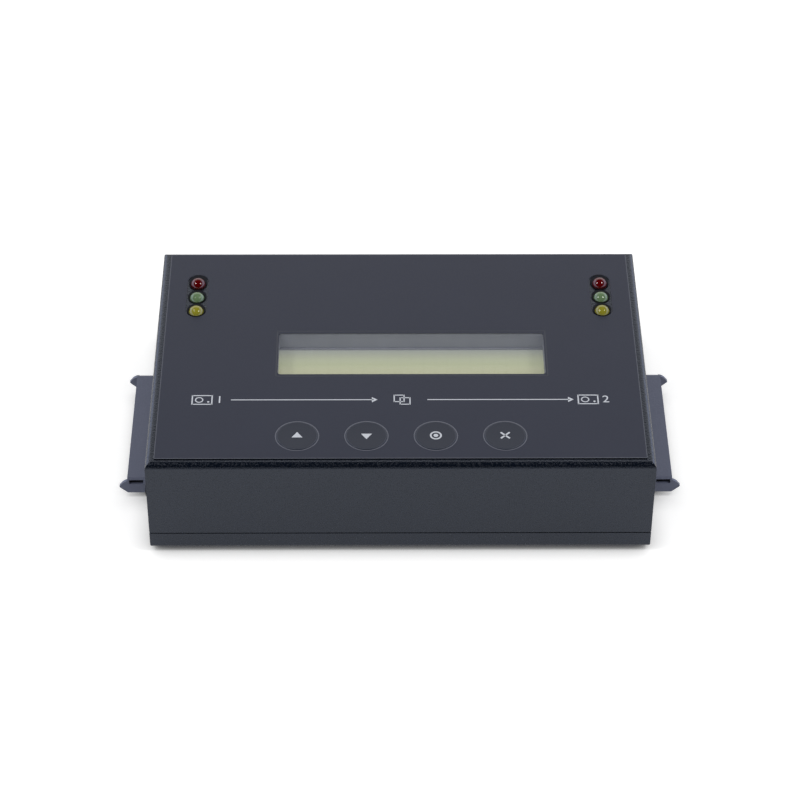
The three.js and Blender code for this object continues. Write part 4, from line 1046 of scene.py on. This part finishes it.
def hood_slot_painted_shade(side):
    """A black angle in the inner corner of each leg: painted shade behind its slot."""
    low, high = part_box(f"{side}_dock_bracket")
    socket_low, socket_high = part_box(f"{side}_sata_receptacle")
    way = outward(side)
    outer = (lid_high.x + HOOD_REACH * MM) * way
    x = outer - way * (SHADE_SHEET_START + SHADE_SHEET_LENGTH / 2) * MM
    top = high.z - HOOD_SHEET * MM
    centre_y = (socket_low.y + socket_high.y) / 2
    half = HOOD_WIDTH / 2 * MM - HOOD_SHEET * MM
    shape = bmesh.new()
    for end in (-1, 1):
        upright = bmesh.ops.create_cube(shape, size=MM)["verts"]
        bmesh.ops.scale(shape, verts=upright, vec=(SHADE_SHEET_LENGTH, SHADE_SHEET_THICKNESS, SHADE_SHEET_DROP))
        bmesh.ops.translate(shape, verts=upright, vec=(
            x, centre_y + end * (half - SHADE_SHEET_THICKNESS / 2 * MM), top - SHADE_SHEET_DROP / 2 * MM))
        level = bmesh.ops.create_cube(shape, size=MM)["verts"]
        bmesh.ops.scale(shape, verts=level, vec=(SHADE_SHEET_LENGTH, SHADE_SHEET_DEPTH, SHADE_SHEET_THICKNESS))
        bmesh.ops.translate(shape, verts=level, vec=(
            x, centre_y + end * (half - SHADE_SHEET_DEPTH / 2 * MM), top - SHADE_SHEET_THICKNESS / 2 * MM))
    add_piece(f"{side}_hood_slot_painted_shade", shape, painted_shade_black, "case")


for side in SIDES:
    hood_slot_painted_shade(side)


# Stage, light and camera
def floor_material():
    """White paper sweep that keeps the shadow of the object."""
    material, tree, shader, place = start_material("white_sweep", Roughness=0.9, IOR=1.3)
    shader.inputs["Specular IOR Level"].default_value = 0.0
    path = add_node(tree, "ShaderNodeLightPath").outputs
    # the soft contact shadow, which fades over the last 8 mm; reflections don't show it
    near = add_node(tree, "ShaderNodeAmbientOcclusion", {"Distance": 8 * MM}, samples=16).outputs["AO"]
    painted_shade_ramp = add_node(tree, "ShaderNodeValToRGB", {"Fac": near})
    ramp = painted_shade_ramp.color_ramp
    ramp.elements[0].position = 0.2
    ramp.elements[0].color = (0.12, 0.12, 0.13, 1)
    for position, value in ((0.35, 0.36), (0.5, 0.6), (0.65, 0.78), (0.85, 0.92)):
        ramp.elements.new(position).color = (value, value, value, 1)
    # reflections see the white paper end in front of the object
    along = add_node(tree, "ShaderNodeSeparateXYZ", {"Vector": place}).outputs["Y"]
    paper_end = add_node(tree, "ShaderNodeMapRange", {
        "Value": along, "From Min": -0.22, "From Max": -0.15, "To Min": 0.1, "To Max": 1.0,
    }, interpolation_type="SMOOTHSTEP").outputs["Result"]
    mirrored = colour_mix(tree, path["Is Glossy Ray"], WHITE, paper_end)
    shade = colour_mix(tree, path["Is Camera Ray"], mirrored, painted_shade_ramp.outputs["Color"])
    paper = colour_mix(tree, speckle(tree, place, size_mm=40), colour("#f2f2f2"), colour("#f4f4f4"))
    shaded = add_node(tree, "ShaderNodeVectorMath", {0: paper, 1: shade}, operation="MULTIPLY")
    tree.links.new(shaded.outputs["Vector"], shader.inputs["Base Color"])
    tree.links.new(shade, shader.inputs["Emission Color"])
    seen = add_node(tree, "ShaderNodeMath", {0: path["Is Camera Ray"], 1: 0.47},
                    operation="MULTIPLY").outputs[0]
    tree.links.new(seen, shader.inputs["Emission Strength"])
    return material


def floor():
    """The white paper that the object stands on."""
    shape = bmesh.new()
    bmesh.ops.create_grid(shape, x_segments=1, y_segments=1, size=6)
    mesh = bpy.data.meshes.new("floor")
    shape.to_mesh(mesh)
    shape.free()
    mesh.materials.append(floor_material())
    piece = bpy.data.objects.new("floor", mesh)
    bpy.context.scene.collection.objects.link(piece)


# Light of the even surroundings, and what the side walls have more than the rear one
PLAIN_GLOW = 0.55
SIDE_GLOW = 0.85


def studio_world():
    """White round the horizon and dark overhead, as in a light tent with an open top."""
    world = bpy.data.worlds.new("studio")
    bpy.context.scene.world = world
    world.use_nodes = True
    tree = world.node_tree
    tree.nodes.clear()
    way = add_node(tree, "ShaderNodeTexCoord").outputs["Generated"]
    parts = add_node(tree, "ShaderNodeSeparateXYZ", {"Vector": way}).outputs
    # the white wall reaches higher at the rear than at the front
    tilt = add_node(tree, "ShaderNodeMath", {0: parts["Y"], 1: -0.35}, operation="MULTIPLY").outputs[0]
    height = add_node(tree, "ShaderNodeMath", {0: parts["Z"], 1: tilt}, operation="ADD").outputs[0]
    wall = add_node(tree, "ShaderNodeMapRange", {
        "Value": height, "From Min": 0.3, "From Max": 0.58, "To Min": 1.0, "To Max": 0.0,
    }, interpolation_type="SMOOTHSTEP").outputs["Result"]
    # the walls beside the object are lit more than the rear one
    aside = add_node(tree, "ShaderNodeMath", {0: parts["X"]}, operation="ABSOLUTE").outputs[0]
    edge = add_node(tree, "ShaderNodeMapRange", {
        "Value": aside, "From Min": 0.4, "From Max": 0.7,
    }, interpolation_type="SMOOTHSTEP").outputs["Result"]
    tint = colour_mix(tree, edge, WHITE, colour("#d9e3ff"))
    extra = add_node(tree, "ShaderNodeMath", {0: edge, 1: SIDE_GLOW, 2: 1.0},
                     operation="MULTIPLY_ADD").outputs[0]
    glow = add_node(tree, "ShaderNodeMath", {0: wall, 1: extra}, operation="MULTIPLY").outputs[0]
    path = add_node(tree, "ShaderNodeLightPath").outputs
    glossy = add_node(tree, "ShaderNodeMath", {0: path["Is Glossy Ray"], 1: path["Is Transmission Ray"]},
                      operation="MAXIMUM").outputs[0]
    plain = add_node(tree, "ShaderNodeBackground", {"Color": WHITE, "Strength": PLAIN_GLOW}).outputs[0]
    white = add_node(tree, "ShaderNodeBackground", {"Color": WHITE, "Strength": 1.0}).outputs[0]
    tent = add_node(tree, "ShaderNodeBackground", {"Color": tint, "Strength": glow}).outputs[0]
    reflected = add_node(tree, "ShaderNodeMixShader", {0: glossy, 1: plain, 2: tent}).outputs[0]
    shown = add_node(tree, "ShaderNodeMixShader", {
        0: path["Is Camera Ray"], 1: reflected, 2: white}).outputs[0]
    add_node(tree, "ShaderNodeOutputWorld", {"Surface": shown})


def softbox(name, direction, distance, size, power):
    """A square soft light that faces the object."""
    light = bpy.data.lights.new(name, "AREA")
    light.shape = "SQUARE"
    light.size = size
    light.energy = power
    lamp = bpy.data.objects.new(name, light)
    bpy.context.scene.collection.objects.link(lamp)
    way = Vector(direction).normalized()
    lamp.location = way * distance
    lamp.rotation_euler = way.to_track_quat("Z", "Y").to_euler()


CAMERA_PLACE = Vector((-6.348, -658.611, 589.138)) * MM
CAMERA_YAW = math.radians(0.570)
CAMERA_PITCH = math.radians(-41.129)
CAMERA_ROLL = math.radians(0.288)
CAMERA_LENS = 124.547


def photo_camera():
    """The camera of the photograph, found from the corners of the case."""
    forward = Vector((math.sin(CAMERA_YAW) * math.cos(CAMERA_PITCH),
                      math.cos(CAMERA_YAW) * math.cos(CAMERA_PITCH), math.sin(CAMERA_PITCH)))
    level = Vector((math.cos(CAMERA_YAW), -math.sin(CAMERA_YAW), 0))
    upward = level.cross(forward)
    right = math.cos(CAMERA_ROLL) * level + math.sin(CAMERA_ROLL) * upward
    top = math.cos(CAMERA_ROLL) * upward - math.sin(CAMERA_ROLL) * level
    data = bpy.data.cameras.new("photo_camera")
    data.sensor_width = 36
    data.lens = CAMERA_LENS
    data.clip_start = 0.01
    data.clip_end = 20
    camera = bpy.data.objects.new("photo_camera", data)
    bpy.context.scene.collection.objects.link(camera)
    turn = Matrix((right, top, -forward)).transposed().to_4x4()
    camera.matrix_world = Matrix.Translation(CAMERA_PLACE) @ turn
    bpy.context.scene.camera = camera


floor()
studio_world()
for side in SIDES:
    softbox(f"{side}_softbox", (0.55 * outward(side), -0.15, 0.82), distance=0.9, size=0.2, power=1.7)
photo_camera()
bpy.context.scene.view_settings.view_transform = "Standard"
